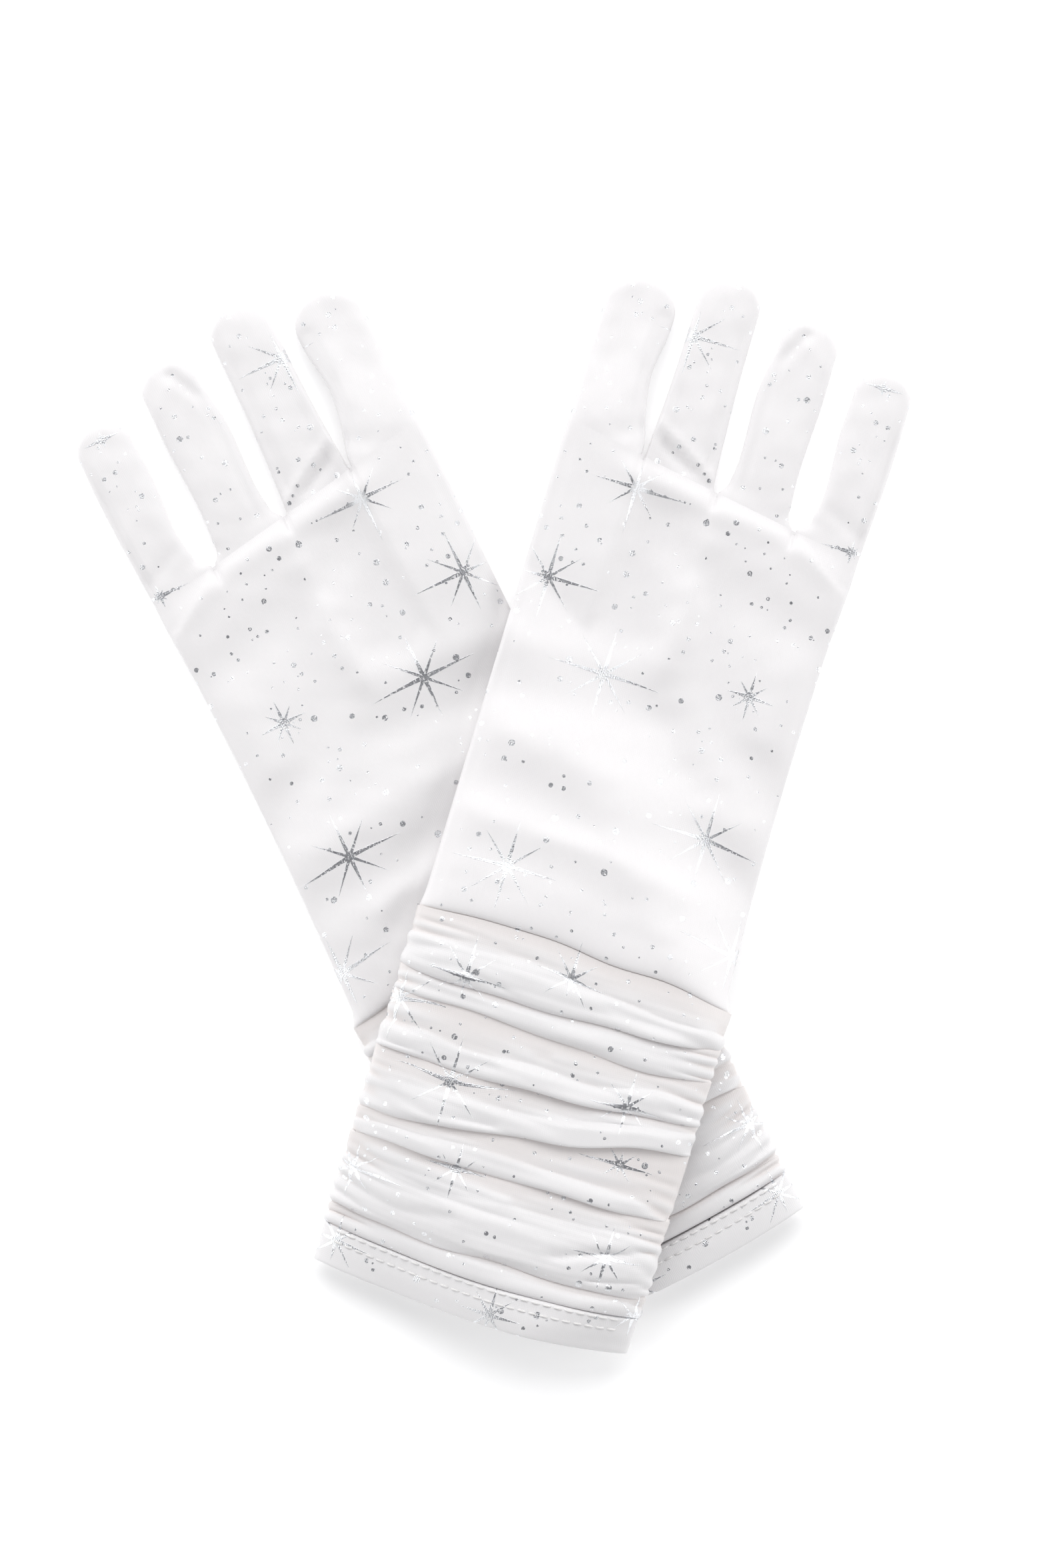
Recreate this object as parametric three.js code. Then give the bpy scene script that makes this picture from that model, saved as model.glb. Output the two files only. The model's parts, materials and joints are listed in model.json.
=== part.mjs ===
// A pair of child's opera gloves in stretch satin, lying crossed on a flat surface with their backs up.
// Millimetres, +Z up. Each glove is drawn once in its own flat frame and placed twice: u runs across the
// hand from the index side to the little-finger side, v runs from the hem of the cuff to the fingertips.
// The left glove is the mirror image of the right one and lies under it.
import * as THREE from "three";

// ---- Cloth and clearances ----
const CLOTH = 0.8; // wall of every cloth panel
const SEAM_GAP = 0.3; // between two panels that are sewn together, and between cloth and what lies on it

// ---- Lengths along a glove, from the hem ----
const HEM_DEPTH = 8;
const SLEEVE_LENGTH = 92; // hem to the end of the ruching
const KNUCKLE_V = 209.5; // knuckle line, where it crosses the middle of the glove
const KNUCKLE_SLOPE = -0.17; // the line falls towards the little finger

// ---- Widths across a glove ----
const SLEEVE_EDGES = [-41, 39.5];
const HEM_BOW = 2.5; // how far the hem bows out at its middle
const HAND_EDGES = [-40.5, 38];
const HAND_WAIST = 1.2; // how far the little-finger side is drawn in at mid hand

// ---- Heights of the flattened tube ----
const SLEEVE_HEIGHT = 9.4;
const HAND_HEIGHT = 5.4;
const FINGER_HEIGHT = 4.6;
const FINGERTIP_HEIGHT = 3.8;
const THUMB_HEIGHT = 3.2;
const HAND_TAPER_END = 165; // where the hand has come down to its own height
const FLAT_SHARE = 0.78; // share of the half width that is flat before the edge rounds over
const SHOULDER_SHARE = 0.94; // where the rounding turns steep
const SHOULDER_DROP = 0.31; // how far it has come down there, as a share

// ---- Fingers: both edges at the knuckle line, both edges at the straight part's end, and the tip ----
const FINGERS = {
  index: { base: [-40.4, -20.6], end: [-40.6, -22.6], tip: 255 },
  middle: { base: [-19.7, -0.7], end: [-19.4, -3.2], tip: 262 },
  ring: { base: [0.3, 20.4], end: [3, 18.8], tip: 256.5 },
  little: { base: [21.4, 38.3], end: [25, 39.4], tip: 249.5 },
};

// ---- Thumb, tucked under the palm; it swings out past the index side ----
const THUMB_PIVOT = [-28.5, 169];
const THUMB_WIDTH = 16;
const THUMB_REACH = 35; // pivot to tip
const THUMB_HEEL = 6; // pivot to the sewn end
const THUMB_LEAN = 2; // degrees from the glove's own length, towards the palm
const THUMB_SWING = 24; // degrees it can turn outwards
const THUMB_MARGIN = 6; // how far the palm stays lifted beside it
const THUMB_SLOPE = 10; // width of the slope where the palm then comes down

// ---- Elastic tape and stitching ----
const TAPE_WIDTH = 3;
const TAPE_THICKNESS = 0.6;
const TAPE_INSET = 1.6; // edge of the sleeve to the tape
const THREAD_WIDTH = 0.5;
const THREAD_HEIGHT = 0.4;
const STITCH_ROWS = [6.1, 8.7]; // from the hem's fold
const STITCH_GAP = 0.5; // from the cloth's facets to the straight thread over them

// ---- How the pair lies ----
const CROSSING_GAP = STITCH_GAP + THREAD_HEIGHT + SEAM_GAP; // clears the lower glove's stitching too
// hemRise is how far the little-finger corner of the hem is drawn up.
const RIGHT = { name: "right", at: [-5.25, -121.1], turn: -16.7, mirror: 1, hemRise: 0 };
const LEFT = { name: "left", at: [39.4, -114.7], turn: 25.9, mirror: -1, hemRise: 13 };
const DRAPE_RUN = 22; // width of the slope where the upper glove comes down beside the lower one
const DRAPE_INSET = 5; // how far inside the lower glove's edge that slope ends

// ---- Grid stations: shares of the half width, and counts along the length ----
const EDGE_STATIONS = [FLAT_SHARE, SHOULDER_SHARE, 1];
const edged = (inner) => [...EDGE_STATIONS.map((s) => -s).reverse(), ...inner, ...EDGE_STATIONS];
RIGHT.stations = edged([-0.6, -0.4, -0.2, 0, 0.2, 0.4, 0.6]);
LEFT.stations = edged([-0.6, -0.4, -0.2, 0, 0.4]);
RIGHT.sleeveRows = 12;
LEFT.sleeveRows = 6;
const FINGER_STATIONS = edged([]);
const WRIST_ROWS = 6; // over the lower half of the hand
const PALM_ROWS = 8; // over the upper half, where the thumb lies under it
const TIP_ROWS = [0, 0.5, 0.8, 0.95, 1]; // shares of the round tip's length
const STRAIGHT_ROWS = 3;
const BLUNT_TIP = 0.24; // half width left at the very tip, as a share

const satin = new THREE.MeshStandardMaterial({ color: 0xf3f1f3, roughness: 0.55, metalness: 0 });
const elastic = new THREE.MeshStandardMaterial({ color: 0xe6e3e0, roughness: 0.8, metalness: 0 });
const thread = new THREE.MeshStandardMaterial({ color: 0xfafafa, roughness: 0.6, metalness: 0 });

const lerp = (a, b, t) => a + (b - a) * t;
const clamp01 = (x) => Math.min(1, Math.max(0, x));
const ease = (x) => {
  const t = clamp01(x);
  return t * t * (3 - 2 * t);
};
const radians = THREE.MathUtils.degToRad;
const knuckleV = (u) => KNUCKLE_V + KNUCKLE_SLOPE * u;

// The flattened tube's height at a distance from the hem.
function tubeHeight(v) {
  const taper = ease((v - SLEEVE_LENGTH) / (HAND_TAPER_END - SLEEVE_LENGTH));
  return lerp(SLEEVE_HEIGHT, HAND_HEIGHT, taper);
}

// 1 over the flat middle of a tube, falling in two facets to 0 at its side seams.
function crown(s) {
  const out = Math.abs(s);
  if (out > SHOULDER_SHARE) return ((1 - SHOULDER_DROP) * (1 - out)) / (1 - SHOULDER_SHARE);
  return 1 - (SHOULDER_DROP * Math.max(0, out - FLAT_SHARE)) / (SHOULDER_SHARE - FLAT_SHARE);
}

// Heights of a tube's four cloth faces above what it lies on.
function layers(height, s, cloth = CLOTH) {
  const middle = height / 2;
  const rise = (middle - cloth - SEAM_GAP / 2) * crown(s);
  return {
    outerTop: middle + SEAM_GAP / 2 + cloth + rise,
    innerTop: middle + SEAM_GAP / 2 + rise,
    innerBottom: middle - SEAM_GAP / 2 - rise,
    outerBottom: middle - SEAM_GAP / 2 - cloth - rise,
  };
}

// Distance from a point to the area that the thumb covers while it swings; 0 or less inside it.
function thumbDistance(u, v) {
  const du = u - THUMB_PIVOT[0];
  const dv = v - THUMB_PIVOT[1];
  const outer = radians(THUMB_LEAN - THUMB_SWING);
  const angle = Math.min(radians(THUMB_LEAN), Math.max(outer, Math.atan2(du, dv)));
  const half = THUMB_WIDTH / 2;
  const along = du * Math.sin(angle) + dv * Math.cos(angle);
  const near = Math.min(THUMB_REACH - half, Math.max(half - THUMB_HEEL, along));
  return Math.hypot(du - near * Math.sin(angle), dv - near * Math.cos(angle)) - half;
}

// How far the palm is lifted off the table by the thumb under it.
function thumbLift(u, v) {
  const slope = 1 - ease((thumbDistance(u, v) - THUMB_MARGIN) / THUMB_SLOPE);
  return (THUMB_HEIGHT + SEAM_GAP) * slope;
}

function toWorld(glove, u, v) {
  const a = radians(glove.turn);
  const x = u * glove.mirror;
  return [
    glove.at[0] + x * Math.cos(a) - v * Math.sin(a),
    glove.at[1] + x * Math.sin(a) + v * Math.cos(a),
  ];
}

function toGlove(glove, x, y) {
  const a = radians(glove.turn);
  const dx = x - glove.at[0];
  const dy = y - glove.at[1];
  return [(dx * Math.cos(a) + dy * Math.sin(a)) * glove.mirror, dy * Math.cos(a) - dx * Math.sin(a)];
}

// How far the lower glove lifts the upper one at a point of the upper glove.
function crossingLift(u, v) {
  const [lowU, lowV] = toGlove(LEFT, ...toWorld(RIGHT, u, v));
  const inside = Math.min(lowU - SLEEVE_EDGES[0], SLEEVE_EDGES[1] - lowU, lowV);
  const top = tubeHeight(lowV) + thumbLift(lowU, lowV) + CROSSING_GAP;
  return top * ease((inside + DRAPE_RUN) / (DRAPE_RUN + DRAPE_INSET));
}

// What the panels of each glove lie on.
LEFT.ground = (u, v) => thumbLift(u, v);
RIGHT.ground = (u, v) => Math.max(thumbLift(u, v), crossingLift(u, v));

// A closed plate over a grid of plan points, between two heights given for each point.
function plate(grid, low, high) {
  const rows = grid.length;
  const columns = grid[0].length;
  const positions = [];
  for (const heightOf of [low, high])
    for (const row of grid) for (const p of row) positions.push(p.u, p.v, heightOf(p));
  const at = (layer, i, j) => layer * rows * columns + i * columns + j;
  const faces = [];
  const quad = (a, b, c, d) => faces.push(a, b, c, a, c, d);
  for (let i = 0; i + 1 < rows; i++)
    for (let j = 0; j + 1 < columns; j++) {
      quad(at(1, i, j), at(1, i, j + 1), at(1, i + 1, j + 1), at(1, i + 1, j));
      quad(at(0, i, j), at(0, i + 1, j), at(0, i + 1, j + 1), at(0, i, j + 1));
    }
  for (let i = 0; i + 1 < rows; i++) {
    quad(at(0, i, 0), at(1, i, 0), at(1, i + 1, 0), at(0, i + 1, 0));
    quad(at(0, i, columns - 1), at(0, i + 1, columns - 1), at(1, i + 1, columns - 1), at(1, i, columns - 1));
  }
  for (let j = 0; j + 1 < columns; j++) {
    quad(at(0, 0, j), at(0, 0, j + 1), at(1, 0, j + 1), at(1, 0, j));
    quad(at(0, rows - 1, j), at(1, rows - 1, j), at(1, rows - 1, j + 1), at(0, rows - 1, j + 1));
  }
  const geometry = new THREE.BufferGeometry();
  geometry.setAttribute("position", new THREE.Float32BufferAttribute(positions, 3));
  geometry.setIndex(faces);
  geometry.computeVertexNormals();
  return geometry;
}

// Plan grid from rows, each with its two edges, its line v(u) across the glove and the height rest(u)
// of what it lies on; s is the share of the half width.
function planGrid(rows, stations) {
  return rows.map((row) =>
    stations.map((s) => {
      const u = lerp(row.edges[0], row.edges[1], (s + 1) / 2);
      return { u, v: row.v(u), s, t: row.t, rest: row.rest(u) };
    }),
  );
}

// Rows that lie on the glove's ground.
const resting = (glove, rows) => rows.map((row) => ({ ...row, rest: (u) => glove.ground(u, row.v(u)) }));

const evenly = (count) => Array.from({ length: count }, (_, i) => i / (count - 1));
const upTo = (share, count) => Array.from({ length: count }, (_, i) => (share * i) / count);

function add(parent, name, geometry, material) {
  const mesh = new THREE.Mesh(geometry, material);
  mesh.name = name;
  parent.add(mesh);
  return mesh;
}

// Both cloth halves of a tube: the back half on top and the palm half under it.
function tubeHalves(parent, name, grid, heightAt) {
  const face = (which) => (p) => p.rest + layers(heightAt(p), p.s)[which];
  add(parent, name + "_back", plate(grid, face("innerTop"), face("outerTop")), satin);
  add(parent, name + "_palm", plate(grid, face("outerBottom"), face("innerBottom")), satin);
}

function handPanels(glove, group) {
  const half = 0.5;
  const shares = [...upTo(half, WRIST_ROWS), ...evenly(PALM_ROWS).map((t) => lerp(half, 1, t))];
  const rows = shares.map((t) => ({
    t,
    edges: [HAND_EDGES[0], HAND_EDGES[1] - HAND_WAIST * Math.sin(Math.PI * t)],
    v: (u) => lerp(SLEEVE_LENGTH + SEAM_GAP / 2, knuckleV(u) - SEAM_GAP / 2, t),
  }));
  const grid = planGrid(resting(glove, rows), glove.stations);
  tubeHalves(group, glove.name + "_hand", grid, (p) => tubeHeight(p.v));
}

// Where the hem's fold lies: bowed out in the middle, drawn up at the little-finger corner.
function hemV(glove, u) {
  const share = u / SLEEVE_EDGES[1];
  return glove.hemRise * ease(share) - HEM_BOW * Math.max(0, 1 - share * share);
}

// Rows of the sleeve panels, as distances from the hem.
function sleeveStops(glove) {
  return evenly(glove.sleeveRows).map((t) => t * (SLEEVE_LENGTH - SEAM_GAP / 2));
}

// A line across the sleeve at a distance from the hem. The hem's shape fades out along the sleeve.
function sleeveLine(glove, distance) {
  return (u) => distance + hemV(glove, u) * (1 - distance / SLEEVE_LENGTH);
}

// Height of the ground at a distance from the hem, straight between the panels' rows, so that pieces
// which lie on a panel follow its facets.
function sleeveRest(glove, distance) {
  const stops = sleeveStops(glove);
  const next = Math.max(1, stops.findIndex((stop) => stop >= distance));
  const [before, after] = [stops[next - 1], stops[next]];
  const groundAt = (stop, u) => glove.ground(u, sleeveLine(glove, stop)(u));
  return (u) => lerp(groundAt(before, u), groundAt(after, u), (distance - before) / (after - before));
}

// A grid over a stretch of the sleeve between two distances from the hem, with the panels' own rows.
function sleeveGrid(glove, from, to, stations) {
  const between = sleeveStops(glove).filter((d) => d > from + SEAM_GAP && d < to - SEAM_GAP);
  const rows = [from, ...between, to].map((distance) => ({
    t: 0,
    edges: SLEEVE_EDGES,
    v: sleeveLine(glove, distance),
    rest: sleeveRest(glove, distance),
  }));
  return planGrid(rows, stations);
}

function sleevePanels(glove, group) {
  const grid = sleeveGrid(glove, 0, SLEEVE_LENGTH - SEAM_GAP / 2, glove.stations);
  tubeHalves(group, glove.name + "_sleeve", grid, () => SLEEVE_HEIGHT);
}

// The hem allowance, turned in and lying against the inside of each panel at the mouth.
function hemAllowances(glove, group) {
  const stations = glove.stations.filter((s) => Math.abs(s) <= SHOULDER_SHARE);
  const grid = sleeveGrid(glove, SEAM_GAP, HEM_DEPTH, stations);
  const face = (which, step) => (p) => p.rest + layers(SLEEVE_HEIGHT, p.s)[which] + step;
  const near = SEAM_GAP;
  const far = SEAM_GAP + CLOTH;
  add(group, glove.name + "_hem_back", plate(grid, face("innerTop", -far), face("innerTop", -near)), satin);
  add(group, glove.name + "_hem_palm", plate(grid, face("innerBottom", near), face("innerBottom", far)), satin);
}

// The elastic tapes that gather the sleeve, lying on the palm panel inside both side seams.
function elasticTapes(glove, group) {
  const half = (SLEEVE_EDGES[1] - SLEEVE_EDGES[0]) / 2;
  const outer = 1 - TAPE_INSET / half;
  const inner = 1 - (TAPE_INSET + TAPE_WIDTH) / half;
  const sides = { index: [-outer, -inner], little: [inner, outer] };
  for (const [side, stations] of Object.entries(sides)) {
    const grid = sleeveGrid(glove, HEM_DEPTH + SEAM_GAP, SLEEVE_LENGTH - 1, stations);
    const rest = (p) => p.rest + layers(SLEEVE_HEIGHT, p.s).innerBottom + SEAM_GAP;
    const top = (p) => rest(p) + TAPE_THICKNESS;
    add(group, glove.name + "_elastic_" + side + "_side", plate(grid, rest, top), elastic);
  }
}

// The two needle rows of the hem's cover stitch, on the back of the cuff.
function stitchRows(glove, group) {
  const stations = glove.stations.filter((s) => Math.abs(s) <= FLAT_SHARE);
  STITCH_ROWS.forEach((v, i) => {
    const grid = sleeveGrid(glove, v - THREAD_WIDTH / 2, v + THREAD_WIDTH / 2, stations);
    const rest = (p) => p.rest + layers(SLEEVE_HEIGHT, p.s).outerTop + STITCH_GAP;
    const top = (p) => rest(p) + THREAD_HEIGHT;
    add(group, glove.name + "_hem_stitch_row_" + (i + 1), plate(grid, rest, top), thread);
  });
}

// Rows of a flat sheath: straight from its base to the start of a round tip.
function sheathRows(base, end, baseV, tipV) {
  const radius = (end[1] - end[0]) / 2;
  const centre = (end[0] + end[1]) / 2;
  const straight = Array.from({ length: STRAIGHT_ROWS }, (_, i) => i / STRAIGHT_ROWS).map((t) => ({
    t,
    edges: [lerp(base[0], end[0], t), lerp(base[1], end[1], t)],
    v: (u) => lerp(baseV(u), tipV - radius, t),
  }));
  const round = TIP_ROWS.map((t) => {
    const half = radius * Math.max(BLUNT_TIP, Math.sqrt(1 - t * t));
    return { t: 1, edges: [centre - half, centre + half], v: () => tipV - radius * (1 - t) };
  });
  return [...straight, ...round];
}

function hingeFrame(group, name, position, turn) {
  const pivot = new THREE.Group();
  pivot.name = name;
  pivot.position.set(...position);
  pivot.rotation.z = turn;
  group.add(pivot);
  pivot.updateMatrix();
  return pivot;
}

// Moves geometry drawn in the glove's frame into the frame of its own hinge.
function hang(pivot) {
  const inverse = pivot.matrix.clone().invert();
  for (const mesh of pivot.children) mesh.geometry.applyMatrix4(inverse);
}

// Top of the hand's cloth at the knuckle line, over a finger's base.
function knuckleTop(glove, finger) {
  const lifts = FINGER_STATIONS.map((s) => {
    const u = lerp(finger.base[0], finger.base[1], (s + 1) / 2);
    return glove.ground(u, knuckleV(u));
  });
  return Math.max(...lifts) + HAND_HEIGHT;
}

// Each finger folds up and back over the hand on a hinge along the knuckle line, at the top of the cloth.
function fingers(glove, group) {
  for (const [name, finger] of Object.entries(FINGERS)) {
    const u = (finger.base[0] + finger.base[1]) / 2;
    const height = knuckleTop(glove, finger) + SEAM_GAP / 2;
    const label = glove.name + "_" + name;
    const pivot = hingeFrame(group, label + "_fold", [u, knuckleV(u), height], Math.atan(KNUCKLE_SLOPE));
    const rows = sheathRows(finger.base, finger.end, (x) => knuckleV(x) + SEAM_GAP / 2, finger.tip);
    const tube = (p) => lerp(FINGER_HEIGHT, FINGERTIP_HEIGHT, p.t);
    tubeHalves(pivot, label, planGrid(resting(glove, rows), FINGER_STATIONS), tube);
    hang(pivot);
  }
}

// The thumb lies flat on the table under the palm, and turns about an upright axis at its sewn end.
function thumb(glove, group) {
  const label = glove.name + "_thumb";
  const pivot = hingeFrame(group, label + "_swing", [...THUMB_PIVOT, 0], -radians(THUMB_LEAN));
  const half = THUMB_WIDTH / 2;
  const rows = sheathRows([-half + 1, half - 1], [-half, half], () => -THUMB_HEEL, THUMB_REACH);
  const onTable = rows.map((row) => ({ ...row, rest: () => 0 }));
  tubeHalves(pivot, label, planGrid(onTable, FINGER_STATIONS), () => THUMB_HEIGHT);
}

function gloveGroup(glove) {
  const group = new THREE.Group();
  group.name = glove.name + "_glove";
  group.position.set(glove.at[0], glove.at[1], 0);
  group.rotation.z = radians(glove.turn);
  group.scale.x = glove.mirror;
  const pieces = [handPanels, sleevePanels, hemAllowances, elasticTapes, stitchRows, fingers, thumb];
  for (const make of pieces) make(glove, group);
  return group;
}

const pair = new THREE.Group();
pair.name = "opera_gloves";
for (const glove of [LEFT, RIGHT]) pair.add(gloveGroup(glove));

// The origin is the middle of the pair's box, on the surface that it lies on.
const box = new THREE.Box3().setFromObject(pair, true);
const middle = box.getCenter(new THREE.Vector3());
pair.position.set(-middle.x, -middle.y, -box.min.z);
pair.updateMatrixWorld(true);

export default pair;
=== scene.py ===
# %% [markdown]
# # A pair of opera gloves
# Two white stretch-satin gloves with a silver foil print lie crossed on a table, backs up. The cuff of
# each is gathered by elastic tapes into cross folds. A glove could be sculpted by hand or simulated
# whole, but it is drawn here in code, because cloth that hugs nothing is mostly a pattern: a flat tube,
# a few measured folds and a lot of small ones. One glove is drawn in its own flat frame and laid twice.
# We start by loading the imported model, which says where everything goes.

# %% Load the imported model
import json
import math
import bmesh
import bpy
import numpy as np
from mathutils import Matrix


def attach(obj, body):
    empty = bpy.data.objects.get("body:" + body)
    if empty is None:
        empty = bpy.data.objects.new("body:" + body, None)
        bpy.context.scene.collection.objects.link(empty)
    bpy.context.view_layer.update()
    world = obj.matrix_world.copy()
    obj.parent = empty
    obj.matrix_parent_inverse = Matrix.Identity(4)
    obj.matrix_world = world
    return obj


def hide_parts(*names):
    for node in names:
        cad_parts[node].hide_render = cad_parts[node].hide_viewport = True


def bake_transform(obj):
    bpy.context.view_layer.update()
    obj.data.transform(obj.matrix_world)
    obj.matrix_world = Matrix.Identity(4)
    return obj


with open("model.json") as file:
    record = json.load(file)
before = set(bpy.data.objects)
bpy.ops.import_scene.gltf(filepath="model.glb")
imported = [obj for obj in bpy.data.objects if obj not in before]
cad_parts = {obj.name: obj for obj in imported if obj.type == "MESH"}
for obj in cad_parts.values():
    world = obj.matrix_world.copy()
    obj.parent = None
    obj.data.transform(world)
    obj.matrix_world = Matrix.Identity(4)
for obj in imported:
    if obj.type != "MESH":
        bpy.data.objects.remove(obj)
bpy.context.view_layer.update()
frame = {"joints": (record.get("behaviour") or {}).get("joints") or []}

# %% [markdown]
# ## The glove's own frame
# Inside a glove, u runs across the hand from the index side to the little-finger side, v runs from the
# hem to the fingertips, and heights are measured from the table, all in millimetres. The places of the
# finger hinges are known in both frames, so two of them are enough to find where each glove lies and
# how far it is turned. The left glove is the mirror image of the right one.

# %% Where each glove lies
KNUCKLE_V = 209.5
KNUCKLE_SLOPE = -0.17
FINGER_BASES = {
    "index": (-40.4, -20.6),
    "middle": (-19.7, -0.7),
    "ring": (0.3, 20.4),
    "little": (21.4, 38.3),
}
SIDES = {"left": -1, "right": 1}
hinge_at = {j["name"]: j.get("pos_m") for j in frame["joints"]}


def knuckle_line(u):
    return KNUCKLE_V + KNUCKLE_SLOPE * u


def place_of(side):
    ends = []
    for finger in ("index", "little"):
        u = sum(FINGER_BASES[finger]) / 2
        world = complex(*hinge_at[f"{side}_{finger}_fold"][:2]) * 1000
        ends.append((complex(u * SIDES[side], knuckle_line(u)), world))
    (flat_a, world_a), (flat_b, world_b) = ends
    turn = (world_b - world_a) / (flat_b - flat_a)
    turn /= abs(turn)
    return world_a - flat_a * turn, turn


place = {side: place_of(side) for side in SIDES}
for side, (origin, turn) in place.items():
    print(side, "hem middle at", np.round(origin, 2), "turned", round(math.degrees(np.angle(turn)), 2))


# %% From the glove's frame to the table and back
def to_table(side, u, v):
    origin, turn = place[side]
    point = origin + (u * SIDES[side] + 1j * v) * turn
    return point.real, point.imag


def to_glove(side, x, y):
    origin, turn = place[side]
    point = (x + 1j * y - origin) / turn
    return point.real * SIDES[side], point.imag


def in_metres(side, u, v, height):
    x, y = to_table(side, np.asarray(u, float), np.asarray(v, float))
    return np.stack([x, y, np.broadcast_to(height, x.shape)], axis=-1) / 1000


# %% [markdown]
# ## What the cloth lies on
# Cloth takes its height from what is under it. The palm is lifted a little by the thumb, which is
# folded under it and thins towards its sewn end. The right glove is lifted by the left one and slopes
# down to the table beside it. Each lift is a small function of the place, so any piece can ask how high
# the ground is below it.

# %% Heights of the flattened tubes
SLEEVE_LENGTH = 92
SLEEVE_EDGES = (-41, 39.5)
HAND_EDGES = (-40.5, 38)
HAND_WAIST = 1.2
SLEEVE_HEIGHT = 9.4
HAND_HEIGHT = 5.4
HAND_TAPER_END = 165
FINGER_HEIGHT = 4.6
FINGERTIP_HEIGHT = 3.8


def lerp(a, b, t):
    return a + (b - a) * t


def ease(x):
    t = np.clip(x, 0, 1)
    return t * t * (3 - 2 * t)


def tube_height(v):
    return lerp(SLEEVE_HEIGHT, HAND_HEIGHT, ease((v - SLEEVE_LENGTH) / (HAND_TAPER_END - SLEEVE_LENGTH)))


print("tube height at hem and knuckles:", tube_height(0), tube_height(KNUCKLE_V))

# %% The thumb under the palm
THUMB_PIVOT = (-28.5, 169)
THUMB_WIDTH = 16
THUMB_REACH = 35
THUMB_HEEL = 6
THUMB_LEAN = math.radians(2)
THUMB_SWING = math.radians(24)
THUMB_HEIGHT = 3.2
THUMB_CLEARANCE = 0.3
HEEL_HEIGHT = 1.2
HEEL_RUN = 22
THUMB_SLOPE_START = -2
THUMB_SLOPE = 5.5
HEEL_SLOPE_EXTRA = 1.6


def thumb_height(along):
    return lerp(HEEL_HEIGHT, THUMB_HEIGHT, ease((along + THUMB_HEEL) / HEEL_RUN))


def thumb_lift(u, v):
    du = u - THUMB_PIVOT[0]
    dv = v - THUMB_PIVOT[1]
    angle = np.clip(np.arctan2(du, dv), THUMB_LEAN - THUMB_SWING, THUMB_LEAN)
    half = THUMB_WIDTH / 2
    along = du * np.sin(angle) + dv * np.cos(angle)
    near = np.maximum(along, half - THUMB_HEEL)
    distance = np.hypot(du - near * np.sin(angle), dv - near * np.cos(angle)) - half
    slope = THUMB_SLOPE * (1 + HEEL_SLOPE_EXTRA * ease((half - THUMB_HEEL - along) / half))
    lifted = 1 - ease((distance - THUMB_SLOPE_START) / slope)
    return (thumb_height(along) + THUMB_CLEARANCE) * lifted


print("lift over the thumb:", round(float(thumb_lift(-28.5, 185)), 2))

# %% The right glove over the left one
CROSSING_GAP = 1.2
DRAPE_RUN = 22
DRAPE_INSET = 5


def crossing_lift(u, v):
    low_u, low_v = to_glove("left", *to_table("right", u, v))
    inside = np.minimum(np.minimum(low_u - SLEEVE_EDGES[0], SLEEVE_EDGES[1] - low_u), low_v)
    top = tube_height(low_v) + thumb_lift(low_u, low_v) + CROSSING_GAP
    return top * ease((inside + DRAPE_RUN) / (DRAPE_RUN + DRAPE_INSET))


def ground(side, u, v):
    lift = thumb_lift(u, v)
    return np.maximum(lift, crossing_lift(u, v)) if side == "right" else lift


print("ground under the right cuff:", round(float(ground("right", np.array(0.0), np.array(40.0))), 2))

# %% [markdown]
# ## Helpers for soft shapes
# Three small helpers draw every fold. A crest is a soft ridge, or a hollow when its height is negative,
# that follows a short line. Wandering is a sum of a few seeded waves: it looks random, but comes out the
# same each time. Lines across the cuff are given at both side seams and at the middle.


# %% Crests, wandering and lines across
WAVES = 8


def crest(u, v, line, width, height):
    nearest = np.full(np.shape(u), np.inf)
    for (u0, v0), (u1, v1) in zip(line[:-1], line[1:]):
        run = np.array([u1 - u0, v1 - v0])
        share = np.clip(((u - u0) * run[0] + (v - v0) * run[1]) / (run @ run), 0, 1)
        nearest = np.minimum(nearest, np.hypot(u - u0 - share * run[0], v - v0 - share * run[1]))
    return height * np.exp(-((nearest / width) ** 2))


def wander(u, v, across, along, seed):
    random = np.random.default_rng(seed)
    total = np.zeros(np.broadcast(u, v).shape)
    for _ in range(WAVES):
        way = random.uniform(0, 2 * math.pi)
        pace = random.uniform(0.6, 1.6)
        phase = random.uniform(0, 2 * math.pi)
        total += np.sin(2 * math.pi * pace * (u / across * math.cos(way) + v / along * math.sin(way)) + phase)
    return total / math.sqrt(WAVES / 2)


def across_cuff(u, stations):
    low, middle, high = stations
    share = u / SLEEVE_EDGES[1]
    return middle + (high - low) / 2 * share + ((high + low) / 2 - middle) * share**2


print("a crest at its line and a width away:", crest(np.array([0.0, 2.0]), 0, [(0, -5), (0, 5)], 2, 1))

# %% [markdown]
# ## Columns of the mesh
# The hand, cuff and fingers share one set of columns, so the mesh of the hand meets the first ring of
# each finger point for point. Columns crowd together at the edge of each finger, where the cloth rolls
# over, and a finger's share of them starts and ends exactly at its base.

# %% Shared columns
COLUMNS_PER_FINGER = 17
spread = -np.cos(np.linspace(0, math.pi, COLUMNS_PER_FINGER))
spread = 0.75 * spread + 0.25 * np.linspace(-1, 1, COLUMNS_PER_FINGER)
base_columns = np.concatenate([lerp(lo, hi, (spread + 1) / 2) for lo, hi in FINGER_BASES.values()])
shares = 2 * (base_columns - base_columns[0]) / (base_columns[-1] - base_columns[0]) - 1
finger_columns = {
    finger: slice(i * COLUMNS_PER_FINGER, (i + 1) * COLUMNS_PER_FINGER)
    for i, finger in enumerate(FINGER_BASES)
}
edge_columns = (0, COLUMNS_PER_FINGER - 1)
web_columns = [i for i in range(1, len(shares) - 1) if i % COLUMNS_PER_FINGER in edge_columns]
sleeve_columns = lerp(*SLEEVE_EDGES, (shares + 1) / 2)
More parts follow.
